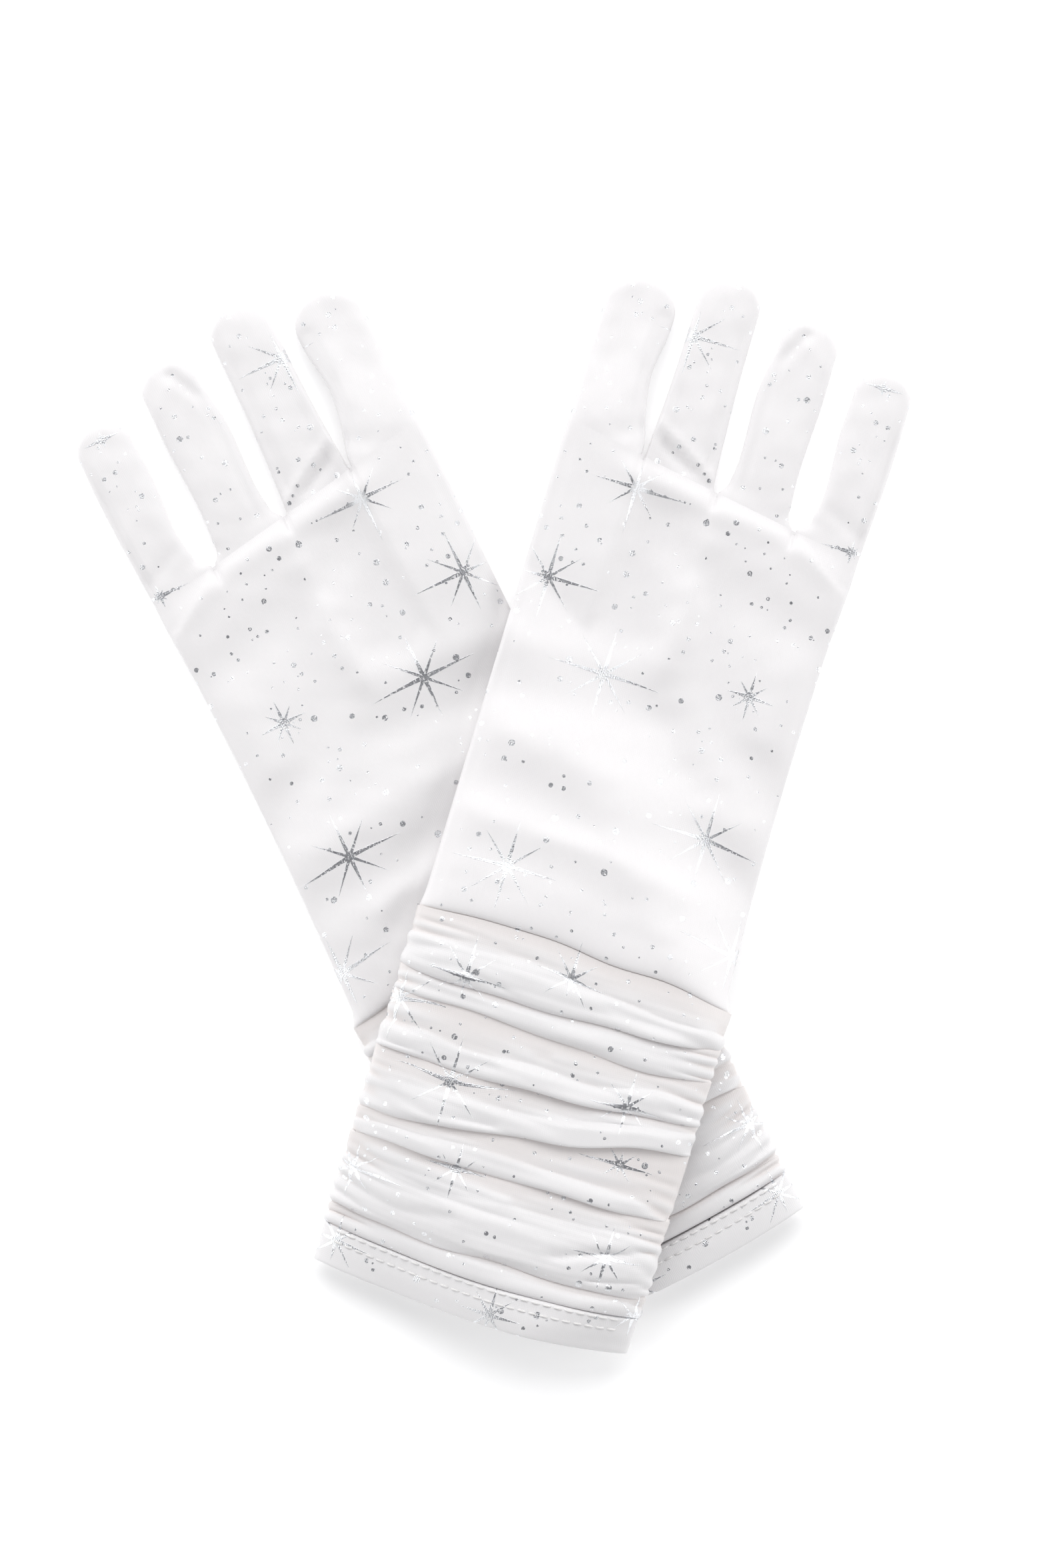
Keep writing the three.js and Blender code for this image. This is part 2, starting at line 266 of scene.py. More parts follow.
print(len(shares), "columns across a glove,", len(web_columns), "of them at the webs")


# %% Weave a tube from rows of points
def add_object(name, data):
    thing = bpy.data.objects.new(name, data)
    bpy.context.scene.collection.objects.link(thing)
    return thing


def weave(name, top, bottom, cloth_top, cloth_bottom, hidden, sewn=(), closed=False):
    """A mesh from the back rows and the palm rows of a flat tube, in metres. Both share the side seams.
    hidden says how deep a point lies in a fold, from 0 to 1. sewn lists columns that are also joined in
    the last row; closed joins the whole last row."""
    rows, columns = top.shape[:2]
    top_index = np.arange(rows * columns).reshape(rows, columns)
    bottom_index = top_index + rows * columns
    bottom_index[:, 0] = top_index[:, 0]
    bottom_index[:, -1] = top_index[:, -1]
    for column in sewn:
        bottom_index[-1, column] = top_index[-1, column]
    points = np.concatenate([top.reshape(-1, 3), bottom.reshape(-1, 3)])
    faces, uvs = [], []
    for i in range(rows - 1):
        for j in range(columns - 1):
            corners = [(i, j), (i, j + 1), (i + 1, j + 1), (i + 1, j)]
            faces.append([top_index[c] for c in corners])
            uvs.append([cloth_top[c] for c in corners])
            corners.reverse()
            faces.append([bottom_index[c] for c in corners])
            uvs.append([cloth_bottom[c] for c in corners])
    if closed:
        for j in range(columns - 1):
            ring = [(top_index, j), (top_index, j + 1), (bottom_index, j + 1), (bottom_index, j)]
            face = [int(index[-1, column]) for index, column in ring]
            face = [p for n, p in enumerate(face) if p != face[n - 1]]
            if len(face) > 2:
                faces.append(face)
                uvs.append([cloth_top[-1, j]] * len(face))
    used = np.unique(np.concatenate([np.array(f) for f in faces]))
    renumber = np.full(len(points), -1)
    renumber[used] = np.arange(len(used))
    mesh = bpy.data.meshes.new(name)
    mesh.from_pydata(points[used].tolist(), [], [[int(renumber[p]) for p in f] for f in faces])
    layer = mesh.uv_layers.new(name="cloth")
    layer.data.foreach_set("uv", np.array([c for f in uvs for c in f], float).ravel())
    depth = np.concatenate([hidden.ravel(), hidden.ravel()])[used]
    # recess holds how deep a point lies in a fold; the satin uses it to paint shade into the folds
    recess = mesh.attributes.new("recess", "FLOAT", "POINT")
    recess.data.foreach_set("value", depth.astype(np.float32))
    return add_object(name, mesh)


# %% Give cloth its thickness
CLOTH = 0.42
SHARP_ANGLE = math.radians(70)


def thicken(piece, thickness=CLOTH):
    mesh = bmesh.new()
    mesh.from_mesh(piece.data)
    bmesh.ops.recalc_face_normals(mesh, faces=mesh.faces)
    mesh.to_mesh(piece.data)
    mesh.free()
    wall = piece.modifiers.new("cloth thickness", "SOLIDIFY")
    wall.thickness = thickness / 1000
    wall.offset = -1
    wall.use_even_offset = False
    bpy.context.view_layer.update()
    solid = bpy.data.meshes.new_from_object(piece.evaluated_get(bpy.context.evaluated_depsgraph_get()))
    piece.modifiers.clear()
    piece.data = solid
    solid.shade_smooth()
    solid.set_sharp_from_angle(angle=SHARP_ANGLE)
    return piece


def sew(side, name, u, v, top, bottom, cloth, **options):
    """One sheath of cloth from its rows in the glove's frame."""
    points = [in_metres(side, u, v, height) for height in (top, bottom)]
    return thicken(weave(f"{side}_{name}", *points, *cloth, **options))


print("cloth walls are", CLOTH, "mm")

# %% [markdown]
# ## Folds of the gathered cuff
# Elastic along both side seams draws the cuff in, so the satin stacks up in cross folds.
# Each fold is a roll that rises slowly on the side of the fingers, and hangs over the next hollow on the
# side of the hem. A wave texture would give even ripples, but the real folds are few, broad and uneven,
# so each one is given by two lines across the cuff: where its roll starts, and the crease it hangs over.

# %% The folds, from the wrist down
# Each has the line where its roll starts, the line of its crease, and its height. A line is given as
# distances from the hem at the index seam, the middle and the little-finger seam.
WRIST_CREASE = (92, 91.8, 87.5)
FOLDS = [
    ((85.5, 84.2, 81.5), (76, 76.1, 78), 2.3),
    ((75, 75.2, 77), (71, 69.9, 69.5), 1.5),
    ((62, 62.3, 65), (56, 56.5, 58.5), 2.1),
    ((49, 51.6, 57), (39.5, 46.2, 52), 2.5),
    ((37.5, 39.9, 38), (33.5, 35.3, 34.5), 1.8),
    ((27.5, 28.5, 29.5), (14.8, 15.2, 14.2), 2.4),
    ((13.9, 13.9, 13.2), (9.9, 9.9, 9.9), 1.4),
]
FOLD_DEPTH = 2.4
HEM_BAND = 9.9
HOLLOW_SHARE = 0.34
ROLL_TOP = 0.6
OVERHANG = 0.45
CREASE_WANDER = 0.45
ROW_SPACING = 0.5
ROWS_FOR_TURNS = 8
print(len(FOLDS), "folds; the deepest crease is", FOLD_DEPTH, "mm below the rolls")


# %% The profile of one fold
def roll(share):
    """Height of a roll, from where it starts (0) to its crease (1)."""
    rise = HOLLOW_SHARE + (1 - HOLLOW_SHARE) * np.sin(math.pi / 2 * np.clip(share / ROLL_TOP, 0, 1)) ** 0.8
    fall = np.cos(math.pi / 2 * np.clip((share - ROLL_TOP) / 0.4, 0, 1)) ** 0.6
    return np.where(share < ROLL_TOP, rise, fall)


def lean(share):
    """How far the cloth of a roll hangs out towards the hem, as a share of its height."""
    return OVERHANG * np.sin(math.pi * np.clip((share - 0.35) / 0.65, 0, 1))


def crease_line(u, stations, seed):
    return across_cuff(u, stations) + CREASE_WANDER * wander(u, 0, 38, 1, seed)


print("roll:", np.round(roll(np.linspace(0, 1, 6)), 2))

# %% [markdown]
# ## The lines of the cuff
# The hem is not straight: it bows out in the middle, and on the left glove one corner is drawn up. Every
# line across the cuff follows the hem's shape, less and less towards the wrist. Small gathers sit close
# to both side seams, where the elastic pulls, and fade within some ten millimetres.

# %% The hem's shape and the gathers at the seams
HEM_BOW = 2.5
HEM_RISE = {"left": 13, "right": 0}
GATHER_LENGTH = 3.3
GATHER_REACH = 14
GATHER_HEIGHT = 1.5


def hem_line(side, u):
    share = u / SLEEVE_EDGES[1]
    return HEM_RISE[side] * ease(share) - HEM_BOW * np.maximum(0, 1 - share * share)


def cuff_line(side, u, distance):
    return distance + hem_line(side, u) * (1 - distance / SLEEVE_LENGTH)


def seam_gathers(u, distance):
    from_seam = np.minimum(u - SLEEVE_EDGES[0], SLEEVE_EDGES[1] - u)
    reach = GATHER_REACH * (1 + 0.35 * wander(np.sign(u) * 50, distance, 40, 21, 5))
    fade = (1 - ease(from_seam / np.maximum(reach, 4))) ** 1.3
    phase = distance / GATHER_LENGTH + 0.35 * wander(u, distance, 60, 17, 6)
    pull = 0.5 - 0.5 * np.cos(2 * math.pi * phase)
    return -GATHER_HEIGHT * fade * pull


print("gathers at the seam, mm:", np.round(seam_gathers(-40.5, np.array([40.0, 41.0, 42.0])), 2))

# %% Smaller folds that cross the rolls
CUFF_CREASES = [
    ([(15, 21.5), (27, 24), (38, 26.5)], 0.9, -0.9),
    ([(25, 18), (38, 20)], 0.8, -0.7),
    ([(13, 47), (26, 45), (38, 43.5)], 1.0, -1.0),
    ([(24, 34), (39, 31.5)], 1.0, -0.8),
    ([(-40, 66), (-22, 67), (-5, 65)], 1.3, 0.6),
    ([(-30, 58), (-12, 59.5)], 0.8, -0.5),
    ([(-39, 46), (-24, 45), (-8, 47)], 0.9, -0.7),
    ([(-39, 22), (-25, 21), (-12, 22.5)], 1.0, -0.7),
    ([(-38, 80), (-27, 80.5), (-15, 79)], 0.8, -0.6),
    ([(10, 81), (24, 80), (37, 79.5)], 0.8, -0.5),
    ([(2, 66), (20, 67), (37, 67.5)], 1.2, 0.6),
    ([(-36, 31), (-18, 31.5), (0, 30)], 1.2, 0.7),
]


def cuff_relief(u, distance):
    relief = seam_gathers(u, distance)
    for line, width, height in CUFF_CREASES:
        relief += crest(u, distance, line, width, height)
    relief += 0.16 * wander(u, distance, 34, 5.5, 11) + 0.09 * wander(u, distance, 26, 2.6, 12)
    return relief


print(len(CUFF_CREASES), "smaller folds on the cuff")

# %% [markdown]
# ## Soft hollows of the hand
# The hand is empty, so the cloth sinks between the knuckles and buckles a little across the wrist. These
# are broad, shallow shapes. They could be painted with a sculpting brush; here each is one line with a
# width and a height, which keeps both gloves the same and easy to change.

# %% The hand's crests and hollows
HAND_SHAPES = [
    ([(-20, 209), (0, 206.5), (18, 205), (27, 202), (36, 196), (39, 188)], 4.2, 0.75),
    ([(-8, 195), (10, 187), (32, 180)], 5.5, -0.8),
    ([(-11, 199), (-12, 186), (-9, 172)], 4.5, -0.9),
    ([(1, 196), (2, 180), (0, 166)], 4.0, 0.8),
    ([(9, 184), (12, 168), (19, 152), (35, 143)], 4.5, -1.0),
    ([(31, 176), (30, 155)], 5.5, 0.6),
    ([(-38, 160), (-18, 162), (-2, 161)], 4.5, 0.5),
    ([(-38, 149), (-14, 149.5), (4, 151)], 4.5, -0.8),
    ([(-40, 138), (0, 135), (37, 131)], 5.0, 0.6),
    ([(-40, 126), (-5, 122.5), (37, 118)], 4.6, -0.95),
    ([(-40, 117), (0, 116), (20, 113)], 3.2, 0.35),
    ([(-38, 109), (0, 107.5), (37, 104)], 3.8, -0.3),
]
SHAPES_STRENGTH = 1.7
DEEPEST_HOLLOW = 2.3
SIDE_ROLL = 2.4
SIDE_GROOVE = 0.5
HAND_SINK = 0.85


def hand_relief(u, v):
    relief = -HAND_SINK + 0.15 * wander(u, v, 31, 27, 21) + 0.05 * wander(u, v, 12, 9, 22)
    for line, width, height in HAND_SHAPES:
        relief = relief + crest(u, v, line, width, SHAPES_STRENGTH * height)
    relief = np.where(relief < 0, DEEPEST_HOLLOW * np.tanh(relief / DEEPEST_HOLLOW), relief)
    from_side = np.minimum(u - HAND_EDGES[0], HAND_EDGES[1] - u)
    return relief - SIDE_GROOVE * np.exp(-(((from_side - SIDE_ROLL) / 0.7) ** 2))


print(len(HAND_SHAPES), "soft shapes on the hand")


# %% Cross-sections
def crown(share, sharpness):
    """1 over the middle of a flat tube, falling to 0 at its side seams."""
    return np.sqrt(np.clip(1 - np.abs(share) ** sharpness, 0, 1))


FINGER_SHARPNESS = 5
SLEEVE_SHARPNESS = 7
sleeve_crown = crown(shares, SLEEVE_SHARPNESS)
base_crown = np.concatenate([crown(spread, FINGER_SHARPNESS) for _ in FINGER_BASES])
print("finger crown:", np.round(base_crown[:COLUMNS_PER_FINGER], 2))

# %% [markdown]
# ## Rows of the hand
# The hand's rows run from the crease at the wrist to the knuckle line. Near the knuckles its one broad
# crown turns into four, one for each finger, and the back and the palm meet at the webs between them.
# At the wrist the cloth rolls over and drops into the first crease of the cuff.

# %% Draw the hand
HAND_ROWS = 104
KNUCKLE_RUN = 8
WRIST_ROLL = 6.5
KNUCKLE_STEP = 1.1
HIGHEST_RIDGE = 0.6
WRIST_SEED = 30


def knuckle_step(u, v):
    """How far the cloth steps down from the knuckles to the fingers; the index finger has no step."""
    edge = knuckle_line(u) - 2.2 - 7 * ease((u - 20) / 19)
    return KNUCKLE_STEP * ease((u + 22) / 6) * ease((v - edge) / 1.8)


def hand_rows(side):
    t = np.linspace(0, 1, HAND_ROWS)[:, None]
    t = 0.72 * t + 0.28 * (0.5 - 0.5 * np.cos(math.pi * t))
    low, high = HAND_EDGES
    u_hand = lerp(low, high - HAND_WAIST * np.sin(math.pi * t), (shares + 1) / 2)
    u = lerp(sleeve_columns, u_hand, ease(t / 0.05))
    u = lerp(u, np.broadcast_to(base_columns, u.shape), ease((t - 0.8) / 0.2))
    start = cuff_line(side, u, crease_line(u, WRIST_CREASE, WRIST_SEED))
    v = lerp(start, knuckle_line(u), t)
    rolling = np.clip(1 - (v - start) / WRIST_ROLL, 0, 1)
    fall = np.cos(math.pi / 2 * rolling) ** 0.6
    fade = ease((v - start) / 9)
    relief = np.minimum(hand_relief(u, v) * fade, HIGHEST_RIDGE) - FOLD_DEPTH * (1 - fall)
    v_out = v - OVERHANG * FOLD_DEPTH * np.sin(math.pi * rolling) * (rolling > 0)
    to_fingers = ease(1 - (knuckle_line(u) - v) / KNUCKLE_RUN) ** 2
    body = np.broadcast_to(sleeve_crown, u.shape)
    full = lerp(body, base_crown, to_fingers)
    height = lerp(tube_height(v), FINGER_HEIGHT, to_fingers)
    rest = ground(side, u, v_out)
    relief_top = relief * body * (1 - 0.75 * to_fingers)
    relief_palm = np.minimum(relief, 0) * 0.5 * body * (1 - to_fingers)
    top = rest + height / 2 * (1 + full) + relief_top - knuckle_step(u, v) * full
    bottom = rest + height / 2 * (1 - full) - relief_palm
    return u, v_out, top, bottom, np.clip(-relief / FOLD_DEPTH, 0, 1) * (rolling > 0)


hand = {side: hand_rows(side) for side in SIDES}
print("hand rows and columns:", hand["right"][0].shape)

# %% [markdown]
# ## Rows of the cuff
# The cuff's rows follow the creases instead of straight lines, so every fold gets the same number of
# rows and the sharp turn over a crease never falls between two of them. The first row is the last row of
# the hand, point for point.

# %% Draw the cuff
CREASE_SEED = 31
START_SEED = 51
SIZE_SEED = 71
SEAM_BULGE = 0.4


def cuff_rows(side):
    u = sleeve_columns
    above = crease_line(u, WRIST_CREASE, WRIST_SEED)
    distances, heights, leans = [], [], []
    for number, (start, crease, fold_height) in enumerate(FOLDS):
        below = crease_line(u, crease, CREASE_SEED + number)
        if number == len(FOLDS) - 1:
            below = across_cuff(u, crease)
        starts = np.clip(crease_line(u, start, START_SEED + number), below + 1.5, above - 0.8)
        rows = ROWS_FOR_TURNS + round(float((above - below).mean()) / ROW_SPACING)
        t = np.linspace(0, 1, rows)
        t = (0.6 * t + 0.4 * (0.5 - 0.5 * np.cos(math.pi * t)))[:, None]
        hollow = (above - starts) / (above - below)
        share = (t - hollow) / (1 - hollow)
        size = fold_height * (1 + 0.14 * wander(u, 0, 45, 1, SIZE_SEED + number))
        flat_part = HOLLOW_SHARE * ease(t / np.maximum(hollow, 0.05)) ** 0.7
        height = size * np.where(share < 0, flat_part, roll(share))
        first = 0 if number == 0 else 1
        distances.append(lerp(above, below, t)[first:])
        heights.append(height[first:])
        leans.append((lean(share) * size)[first:])
        above = below
    distance = np.concatenate(distances)
    height = np.concatenate(heights)
    u = np.broadcast_to(u, distance.shape)
    edge = ease(np.minimum(np.abs(height), 1.2) / 1.2)
    relief = np.minimum(height - FOLD_DEPTH + cuff_relief(u, distance) * edge, 0.2)
    v = cuff_line(side, u, distance) - np.concatenate(leans)
    body = sleeve_crown
    bulge = SEAM_BULGE * (relief + 1.3) * np.abs(shares) ** 10 * np.sign(shares) * edge
    rest = ground(side, u, v)
    top = rest + SLEEVE_HEIGHT / 2 * (1 + body) + relief * body
    bottom = rest + SLEEVE_HEIGHT / 2 * (1 - body) - relief * 0.6 * body
    return u + bulge, v, top, bottom, np.clip(-relief / FOLD_DEPTH, 0, 1)


cuff = {side: cuff_rows(side) for side in SIDES}
for side in SIDES:
    for k in range(4):
        cuff[side][k][0] = hand[side][k][0]
print("cuff rows and columns:", cuff["right"][0].shape)

# %% [markdown]
# ## Cloth coordinates
# The print was laid on the satin before it was gathered, so it has to fold with the cloth. Every point
# therefore knows its place on the flat cloth. Across, that is u; along, it is the length of cloth down
# to the hem, which is measured over the folds. This also gives the length the cuff was cut to.


# %% Measure the cloth along each column
def run_down(side, u, v, height):
    steps = np.linalg.norm(np.diff(in_metres(side, u, v, height) * 1000, axis=0), axis=2)
    return np.concatenate([np.zeros((1, u.shape[1])), np.cumsum(steps, axis=0)])


cuff_run = {side: run_down(side, *cuff[side][:3]) for side in SIDES}
cuff_cut = float(np.mean([run[-1].mean() for run in cuff_run.values()])) + HEM_BAND
EXTRA_CLOTH = cuff_cut - SLEEVE_LENGTH
print("cuff cut to", round(cuff_cut, 1), "mm for a finished", SLEEVE_LENGTH, "mm")

PALM_SHIFT = 300


def cloth_places(u, along):
    back = np.stack([u, along], axis=-1)
    return back, np.stack([PALM_SHIFT - u, along + 0 * u], axis=-1)


def cuff_cloth(side):
    run = cuff_run[side]
    along = HEM_BAND + (cuff_cut - HEM_BAND) * (1 - run / run[-1])
    return cloth_places(np.broadcast_to(sleeve_columns, along.shape), along)


# %% Make the hand and the cuff
made = {}


def make_hand(side):
    u, v, top, bottom, hidden = hand[side]
    t = (v - v[0]) / (v[-1] - v[0])
    cloth = cloth_places(u, lerp(cuff_cut, knuckle_line(u) + EXTRA_CLOTH, t))
    return sew(side, "hand", u, v, top, bottom, cloth, hidden=hidden, sewn=web_columns)


for side in SIDES:
    made[side, "hand"] = make_hand(side)
    *rows, hidden = cuff[side]
    made[side, "cuff"] = sew(side, "gathered_cuff", *rows, cuff_cloth(side), hidden=hidden)
    print(side, "hand and cuff:", [len(made[side, k].data.polygons) for k in ("hand", "cuff")], "faces")

# %% [markdown]
# ## The hem
# The hem is a plain band below the last fold. The satin turns in at its edge and lies against the inside,
# which is why the edge looks twice as thick as the rest. One strip of rows does it all: down the
# outside, around the fold, and eight millimetres back up.

# %% Draw the hem
HEM_DEPTH = 8
HEM_INSIDE = 1.0
OUTSIDE_ROWS = 22
TURN_ROWS = 8
INSIDE_ROWS = 5


def hem_rows(side):
    u, v_first, top_first, bottom_first, _ = (a[-1] for a in cuff[side])
    outside = HEM_BAND - (HEM_BAND - 0.7) * np.linspace(0, 1, OUTSIDE_ROWS) ** 1.5
    turn = np.linspace(0, math.pi, TURN_ROWS)[1:]
    inside = np.linspace(1.5, HEM_DEPTH, INSIDE_ROWS)
    distance = np.concatenate([outside, 0.5 - 0.5 * np.sin(turn), inside])
    inset = np.concatenate([0 * outside, HEM_INSIDE / 2 * (1 - np.cos(turn)), 0 * inside + HEM_INSIDE])
    distance, inset = distance[:, None], inset[:, None]
    bite = np.exp(-((HEM_BAND - distance) / 0.5) ** 2) * (inset == 0)
    puff = 0.35 * np.exp(-((distance - 4.5) / 3) ** 2) - 0.5
    wave = 0.18 * wander(sleeve_columns, distance, 40, 16, 90)
    wave = wave + 0.25 * seam_gathers(sleeve_columns, distance + 2)
    body = sleeve_crown
    step = (FOLD_DEPTH * bite - puff - wave) * body + inset * np.maximum(body, 0.25)
    v = cuff_line(side, sleeve_columns, distance)
    u_out = lerp(sleeve_columns, u, bite) - np.sign(shares) * inset * np.abs(shares) ** 8
    rest = ground(side, u_out, v)
    top = rest + SLEEVE_HEIGHT / 2 * (1 + body) - step
    bottom = rest + SLEEVE_HEIGHT / 2 * (1 - body) + 0.5 * step
    top[0], bottom[0], v[0], u_out[0] = top_first, bottom_first, v_first, u
    return u_out, v, top, bottom, distance


def make_hem(side):
    *rows, distance = hem_rows(side)
    along = np.broadcast_to(distance, rows[0].shape)
    cloth = cloth_places(np.broadcast_to(sleeve_columns, along.shape), along)
    return sew(side, "hem", *rows, cloth, hidden=0 * along)


for side in SIDES:
    made[side, "hem"] = make_hem(side)
print("hem faces:", len(made["right", "hem"].data.polygons))

# %% [markdown]
# ## The fingers
# Each finger is an empty flat sheath with a seam down both sides. It could be a stretched tube, but no
# two sides are alike, so each edge is its own short outline, smoothed by a curve. Its first ring
# is the hand's last row, and its last ring is sewn shut. Near one edge the side seam shows as a groove.

# %% Outlines of the fingers
FINGERS = {
    "index": {
        "left": [(211, -40.4), (222, -40.2), (236, -40.4), (247, -40.2)],
        "right": [(211, -20.6), (217, -20.6), (224, -22.6), (233, -23.8), (243, -22.6), (248, -22.4)],
        "tip": 255.2, "tip_share": 0.05, "seam": 0.9,
        "creases": [([(-21.5, 214), (-24.6, 224), (-25.6, 236), (-25, 248)], 0.7, -0.9),
                    ([(-23.5, 219), (-31, 213), (-38, 214)], 2.2, -0.4)],
    },
    "middle": {
        "left": [(210, -19.7), (218, -19.3), (232, -18.6), (252, -18.2)],
        "right": [(209, -0.7), (213, -1.2), (226, -2.1), (240, -2.6), (252, -2.7)],
        "tip": 261.4, "tip_share": 0.05, "seam": 0.62,
        "creases": [([(-18, 222), (-9, 216.5), (-1.5, 212)], 1.1, 0.9), ([(-18, 218), (-8, 213)], 1.5, -0.7)],
    },
    "ring": {
        "left": [(208, 0.3), (210, 1.8), (214, 2.5), (240, 2.8), (248, 4.2)],
        "right": [(208, 20.4), (209.5, 19.0), (213, 18.5), (240, 18.7), (248, 18.6)],
        "tip": 256.4, "tip_share": -0.12, "seam": -0.62,
        "creases": [([(6, 246), (10, 253)], 1.2, -0.8), ([(12, 250), (17, 246)], 2.0, 0.4)],
    },
    "little": {
        "left": [(205, 21.4), (206.5, 23.6), (210, 24.6), (235, 25.0), (242, 25.4)],
        "right": [(205, 38.3), (212, 38.8), (224, 39.4), (236, 39.6), (242, 39.5)],
        "tip": 249.8, "tip_share": 0, "seam": 0.78,
        "creases": [([(26, 214), (37, 209)], 1.6, -0.4)],
    },
}


def smooth_edge(points, v):
    """A smooth curve through a few points of an edge, given as (v, u)."""
    at, value = (np.array(c, float) for c in zip(*points))
    slope = np.gradient(value, at)
    k = np.clip(np.searchsorted(at, v) - 1, 0, len(at) - 2)
    span = at[k + 1] - at[k]
    t = np.clip((v - at[k]) / span, 0, 1)
    ahead = (2 * t**3 - 3 * t**2 + 1) * value[k] + (3 * t**2 - 2 * t**3) * value[k + 1]
    return ahead + span * ((t**3 - 2 * t**2 + t) * slope[k] + (t**3 - t**2) * slope[k + 1])


print("index edge half way:", round(float(smooth_edge(FINGERS["index"]["right"], np.array(230.0))), 2))

# %% Draw a finger
STRAIGHT_ROWS = 34
ROUND_ROWS = 13
TIP_LEFT = 0.16
GROOVE_DEPTH = 0.8
STRIP_DROP = 0.5
LANDING_SHARE = 0.85
JOIN_SHARE = 0.3


def narrowing(rows, arc, least, sharpness):
    """The share of its width that each row keeps: all of it along the sheath, less around the tip."""
    return np.concatenate([np.ones(rows), np.maximum(least, crown(arc, sharpness))])


def finger_rows(side, finger):
    shape = FINGERS[finger]
    low, high = FINGER_BASES[finger]
    base_v = knuckle_line(lerp(low, high, (spread + 1) / 2))
    start, tip_v = base_v.mean(), shape["tip"]
    radius = (shape["right"][-1][1] - shape["left"][-1][1]) / 2
    round_start = tip_v - radius * 0.92
    t = np.linspace(0, 1, STRAIGHT_ROWS) ** 1.25
    straight_v = lerp(start, round_start, t)
    arc = np.sin(np.linspace(0, math.pi / 2, ROUND_ROWS + 1))[1:]
    round_v = lerp(round_start, tip_v, arc)
    v_line = np.concatenate([straight_v, round_v])
    left, right = smooth_edge(shape["left"], v_line), smooth_edge(shape["right"], v_line)
    narrow = narrowing(STRAIGHT_ROWS, arc, TIP_LEFT, 2.3)
    half = (right - left) / 2
    centre = (left + right) / 2 + shape["tip_share"] * half * (1 - narrow)
    u = centre[:, None] + half[:, None] * narrow[:, None] * spread
    slant = (base_v - start) * (1 - ease((v_line - start) / 14))[:, None]
    v = v_line[:, None] + slant
    along = (v_line - start) / (tip_v - start)
    return u, v, along[:, None], narrow[:, None]


def finger_relief(finger, u, v, along):
    share = spread + 0 * along
    seam = FINGERS[finger]["seam"]
    groove = -GROOVE_DEPTH * np.exp(-(((share - seam) / 0.08) ** 2))
    groove = groove * ease(along / 0.12) * ease((0.86 - along) / 0.15)
    strip = -STRIP_DROP * ease((np.sign(seam) * share - abs(seam)) / 0.2)
    strip = strip * ease(along / 0.15) * ease((0.9 - along) / 0.2)
    soft = 0.16 * wander(u, v, 13, 22, 101) + 0.07 * wander(u, v, 6, 9, 102)
    folds = sum(crest(u, v, *crease) for crease in FINGERS[finger]["creases"])
    return groove + strip + folds + (soft - 0.1) * ease(along / 0.1)


def make_finger(side, finger):
    u, v, along, narrow = finger_rows(side, finger)
    columns = finger_columns[finger]
    sharp = crown(spread, FINGER_SHARPNESS)
    tall = lerp(FINGER_HEIGHT, FINGERTIP_HEIGHT, along)
    height = tall * np.clip(0.25 + 0.75 * narrow**0.8, 0, 1)
    rest = ground(side, u[:1], v[:1]) * (1 - ease(along / LANDING_SHARE))
    relief = finger_relief(finger, u, v, along) * sharp
    middle = rest + tall / 2
    top = middle + height / 2 * sharp + relief
    bottom = middle - height / 2 * sharp - 0.2 * np.minimum(relief, 0)
    hand_u, hand_v, hand_top, hand_bottom, _ = (a[-1][columns] for a in hand[side])
    join = 1 - ease(along / JOIN_SHARE)
    top = lerp(top, hand_top + (top - top[0]), join)
    bottom = lerp(bottom, hand_bottom + (bottom - bottom[0]), join)
    u[0], v[0] = hand_u, hand_v
    return sew(side, f"{finger}_finger", u, v, top, bottom, cloth_places(u, v + EXTRA_CLOTH),
               hidden=np.clip(-relief, 0, 1) * 0.3, closed=True)


for side in SIDES:
    for finger in FINGERS:
        made[side, finger] = make_finger(side, finger)
print("fingers made:", sum(1 for key in made if key[1] in FINGERS))

# %% [markdown]
# ## The thumb
# The thumb is folded flat under the palm, so only its bulge shows through the back. It is a whole sheath
# all the same, because it can swing out. It is drawn straight along its own hinge and turned into place.
# Its heel thins out and runs into the palm's cloth, as if it were sewn there.

# %% Draw the thumb
THUMB_STRAIGHT_ROWS = 24
THUMB_ROUND_ROWS = 10
THUMB_TIP_LEFT = 0.2
THUMB_SHARPNESS = 3.2
THUMB_SEAM_RUN = 9
SEAM_BITE = 0.12


def make_thumb(side):
    half = THUMB_WIDTH / 2
    straight = np.linspace(-THUMB_HEEL, THUMB_REACH - half, THUMB_STRAIGHT_ROWS)
    arc = np.sin(np.linspace(0, math.pi / 2, THUMB_ROUND_ROWS + 1))[1:]
    along = np.concatenate([straight, THUMB_REACH - half + half * arc])[:, None]
    narrow = narrowing(THUMB_STRAIGHT_ROWS, arc, THUMB_TIP_LEFT, 2)[:, None]
    heel = 1 - 0.12 * (1 - ease((along + THUMB_HEEL) / 12))
    across = (half - 0.3) * narrow * heel * spread
    body = crown(spread, THUMB_SHARPNESS)
    soft = 0.12 * wander(across, along, 14, 9, 120) * body
    middle = thumb_height(along) / 2
    rise = (middle - 0.05) * np.clip(0.3 + 0.7 * narrow, 0, 1) * body
    u = THUMB_PIVOT[0] + across * math.cos(THUMB_LEAN) + along * math.sin(THUMB_LEAN)
    v = THUMB_PIVOT[1] - across * math.sin(THUMB_LEAN) + along * math.cos(THUMB_LEAN)
    sewn_in = 1 - ease((along + THUMB_HEEL) / THUMB_SEAM_RUN)
    seam = thumb_lift(u, v)
    top = lerp(middle + rise + np.minimum(soft, 0), seam + SEAM_BITE, sewn_in)
    bottom = lerp(middle - rise, seam - CLOTH / 2, sewn_in)
    cloth = cloth_places(u + 2 * PALM_SHIFT, v)
    return sew(side, "thumb", u, v, top, bottom, cloth, hidden=0 * u, closed=True)


